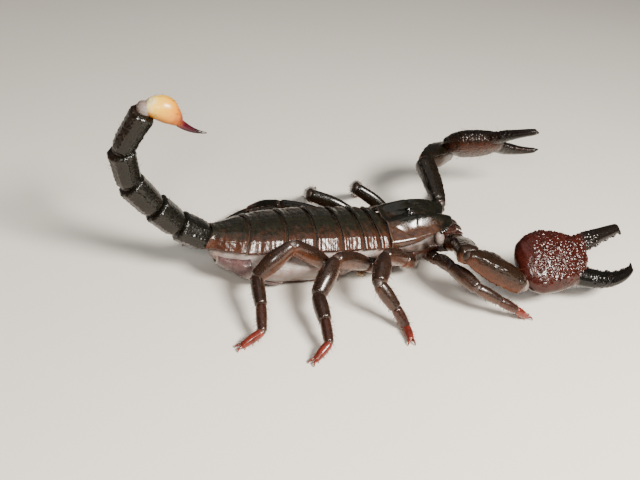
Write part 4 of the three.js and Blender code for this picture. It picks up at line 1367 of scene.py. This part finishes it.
for side_name, side in SIDES.items():
    hand_place = hand_places[side_name]
    bow, tip = PALP_POSES[side_name]["bow"], PALP_POSES[side_name]["tip"]
    rings = [(-1.0, 1.7, 0, 1.2, 0.5)]
    for i in range(HAND_RINGS + 1):
        x = -0.9 + (19 + 0.9) * (i / HAND_RINGS) ** 1.25
        inner_edge = through(HAND_STEPS, HAND_INNER, x)
        outer_edge = through(HAND_STEPS, HAND_OUTER, x)
        rings.append((x, (inner_edge + outer_edge) / 2, 0, (inner_edge - outer_edge) / 2,
                      through(HAND_STEPS, HAND_THICK, x) / 2))
    rings.append((19.4, 3, 0, 1.4, 1))
    palm = drawn("palm", rings, around=40, profile=palm_profile)
    curve = [Vector((14.5, 4, 0)), Vector((25, bow, 0)), Vector((CHELA_LENGTH - 0.2, tip, 0))]
    finger = prong("fixed", *curve, 5.6, 2.8, around=20, steps=16, side=(0, 1, 0), flat=0.74)
    tip_hook = prong("hook", (29.8, tip - 0.1, 0), (32.3, tip, 0), (32.2, tip - 2.1, 0), 2.6, 0.6,
                     steps=8, side=(0, 1, 0))
    hand = rounded("hand_" + side_name, [palm, finger, tip_hook], HAND_VOXEL)
    for point in hand.data.vertices:
        x, y, z = point.co
        sign = 1 if z > 0 else -1
        crease = hump(x, 3.2 - 0.12 * (y - 3), 0.45) * smooth(y, 1.5, 4)
        point.co.z -= sign * 0.12 * crease
        point.co.z -= sign * 0.25 * hump(x, 15.2, 1.1) * smooth(y, -0.5, -3)
        point.co.z += sign * 0.2 * hump(y, -3.6, 0.8) * smooth(x, 4, 8) * (1 - smooth(x, 11, 15))
    granulated(hand, "hand grains " + side_name, hand_grains, size=0.66, height=0.34)
    marked(hand, lambda p: (0.5 - 0.5 * smooth(p.x, 15.5, 21.5), p.y / 9, p.z / 4))
    placed(hand, hand_place)
    kept(hand, hand_finish if side < 0 else shaded_hand_finish, "claw",
         "palp_%s_hand" % side_name)
    GROWN.append((hand, 0.05, 2.4))
    tooth_row("hand_teeth_" + side_name, curve, hand_place, inner=-1, count=14, reach=(0.18, 0.7),
              widths=(5.6, 3.0), sunk=0.15, sizes=(0.36, 0.16, 0.66), turns=(2.1, 1.7), largest=5)
    turned = hand_place.to_3x3()
    membrane(hand_place @ Vector((15.9, -1.6, 0)), turned @ Vector((1, -0.3, 0)), 4.4, 4.4, 4.2,
             turned @ Vector((0, 1, 0)), pale=1)

# ---- moving fingers ---------------------------------------------------------------------------
# Each hand's moving finger swings on its outer front corner, a long slim blade of almost black
# horn with a pale smooth root, a row of round teeth on its inner edge and a hooked tip.
finger_finish = shell_finish("finger horn", "080705", "0e0a07", "160d09", "4c4038",
                             crown_from=-0.6, crown_to=0.5, rim_width=0.1, grain=0.5,
                             relief=0.08, gloss=0.2, coat=0.1, dents=0.2, shine=0.24)
FINGER_VOXEL = 0.16


def finger_grains(p):
    return 0.5 * smooth(p.x, 2.4, 4) * (1 - smooth(p.x, 8, 13))


for side_name in SIDES:
    swing = hand_places[side_name] @ (Matrix.Translation((14.6, -2.9, 0)) @ Matrix.Rotation(
        -rad(PALP_POSES[side_name]["gape"]), 4, "Z"))
    curve = [Vector((-0.3, 0, 0)), Vector((11, -6.6, 0)), Vector((17.1, -2.3, 0))]
    blade = prong("blade", *curve, 5.9, 2.1, around=24, steps=24, side=(0, 1, 0), flat=0.82)
    tip_hook = prong("hook", (15.2, -3.4, 0), (17.2, -2.5, 0), (17.4, -0.9, 0), 2.1, 0.45,
                     around=12, steps=8, side=(0, 1, 0))
    finger = rounded("moving_finger_" + side_name, [blade, tip_hook], FINGER_VOXEL)
    granulated(finger, "finger grains " + side_name, finger_grains, size=0.7, height=0.26)
    marked(finger, lambda p: (0.5 * smooth(p.x, -1.5, 3.5), p.y / 4, p.z / 3))
    placed(finger, swing)
    kept(finger, finger_finish, "shell", "palp_%s_finger" % side_name)
    GROWN.append((finger, 0.06, 1.8))
    tooth_row("finger_teeth_" + side_name, curve, swing, inner=1, count=16, reach=(0.16, 0.74),
              widths=(5.9, 2.1), sunk=0.1, sizes=(0.33, 0.14, 0.6), turns=(1.9, 1.3), largest=6)

# ---- the soft skin, joined --------------------------------------------------------------------
# All the soft parts are one skin: the trunk's own and the sleeve at every joint, run together.
soft = joined("soft_skin", SKIN_PIECES)
placed(soft)
kept(soft, skin_finish, "soft_skin", "belly")

# ---- bristles ---------------------------------------------------------------------------------
# Stiff reddish-brown sensing hairs stand thinly on the feet, hands, arms and tail. Each is a fine
# tapering spike, bent a little towards the piece's tip. Its own place decides whether it grows.
HAIR_THICK = 0.05 * MM
FLOOR_ROOM = 0.0003
# The bristles of each grown piece have a cell of their own on a map of this many cells each way.
HAIR_CELLS = 9
CELL_MARGIN = 0.06
CELL_SPAN = 0.88
hair_finish, tree = blank_material("bristle")
tone = ranged(tree, noise(tree, 900, 1), 0, 1, 0.38, 0.62)
settle(tree, {"Base Color": mixed(tree, tone, "241009", "6a4028"),
              "Roughness": ranged(tree, tone, 0.3, 0.5)})

clear()
bpy.ops.mesh.primitive_cone_add(vertices=3, radius1=1, radius2=0.08, depth=1,
                                location=(0, 0, 0.5))
bristle = bpy.context.object
bpy.ops.object.transform_apply()
bpy.ops.object.mode_set(mode="EDIT")
for height in (0.35, 0.7):
    bpy.ops.mesh.select_all(action="SELECT")
    bpy.ops.mesh.bisect(plane_co=(0, 0, height), plane_no=(0, 0, 1))
bpy.ops.object.mode_set(mode="OBJECT")
bristle_points = [v.co.copy() for v in bristle.data.vertices]
bristle_faces = [list(face.vertices) for face in bristle.data.polygons]
bpy.data.objects.remove(bristle, do_unlink=True)

spikes = []
faces = []
maps = []
for cell, (piece, thickly, length) in enumerate(GROWN):
    mesh = piece.data
    column, line = cell % HAIR_CELLS, cell // HAIR_CELLS
    lies = [0.0] * (len(mesh.vertices) * 3)
    mesh.attributes["lie"].data.foreach_get("vector", lies)
    along = Vector((0, 0, 0))
    middle = Vector((0, 0, 0))
    for v in mesh.vertices:
        middle += v.co / len(mesh.vertices)
    for v in mesh.vertices:
        along += (v.co - middle) * (lies[v.index * 3] - 0.5)
    along.normalize()
    for face in mesh.polygons:
        spot = face.center * 1e5
        chance = random.Random("%d %d %d" % (spot.x, spot.y, spot.z))
        if chance.random() > face.area * 1e6 * thickly:
            continue
        lie = [sum(lies[i * 3 + k] for i in face.vertices) / len(face.vertices) for k in range(3)]
        if not 0.08 < lie[0] < 0.97:
            continue
        out = face.normal.normalized()
        if face.center.z + out.z * length * MM < FLOOR_ROOM:
            continue
        lean = (out + along * chance.uniform(0.3, 0.9)).normalized()
        side = lean.cross(along)
        if side.length < 0.05:
            continue
        side.normalize()
        ahead = side.cross(lean)
        tall = length * MM * chance.uniform(0.45, 1.1)
        first = len(spikes)
        for p in bristle_points:
            spot = face.center + side * (p.x * HAIR_THICK) + ahead * (p.y * HAIR_THICK)
            spot += lean * (p.z * tall) + along * (p.z ** 2 * tall * 0.22)
            spot.z = max(spot.z, 0)
            spikes.append(spot)
        turn = atan2(lie[1], lie[2]) / (2 * pi) + 0.5
        u = (column + CELL_MARGIN + CELL_SPAN * lie[0]) / HAIR_CELLS
        v = (line + CELL_MARGIN + CELL_SPAN * turn) / HAIR_CELLS
        for one in bristle_faces:
            faces.append([first + i for i in one])
            for i in one:
                p = bristle_points[i]
                maps.append((u + p.x * 0.0015, v + (p.z - 0.5) * 0.003))
coat = bpy.data.meshes.new("bristles")
coat.from_pydata(spikes, [], faces)
uv = coat.uv_layers.new(name="OFBake")
uv.data.foreach_set("uv", [value for pair in maps for value in pair])
bristles = bpy.data.objects.new("bristles", coat)
bpy.context.scene.collection.objects.link(bristles)
bpy.context.view_layer.objects.active = bristles
kept(bristles, hair_finish, "limb")

# ---- last update ------------------------------------------------------------------------------
bpy.context.view_layer.update()
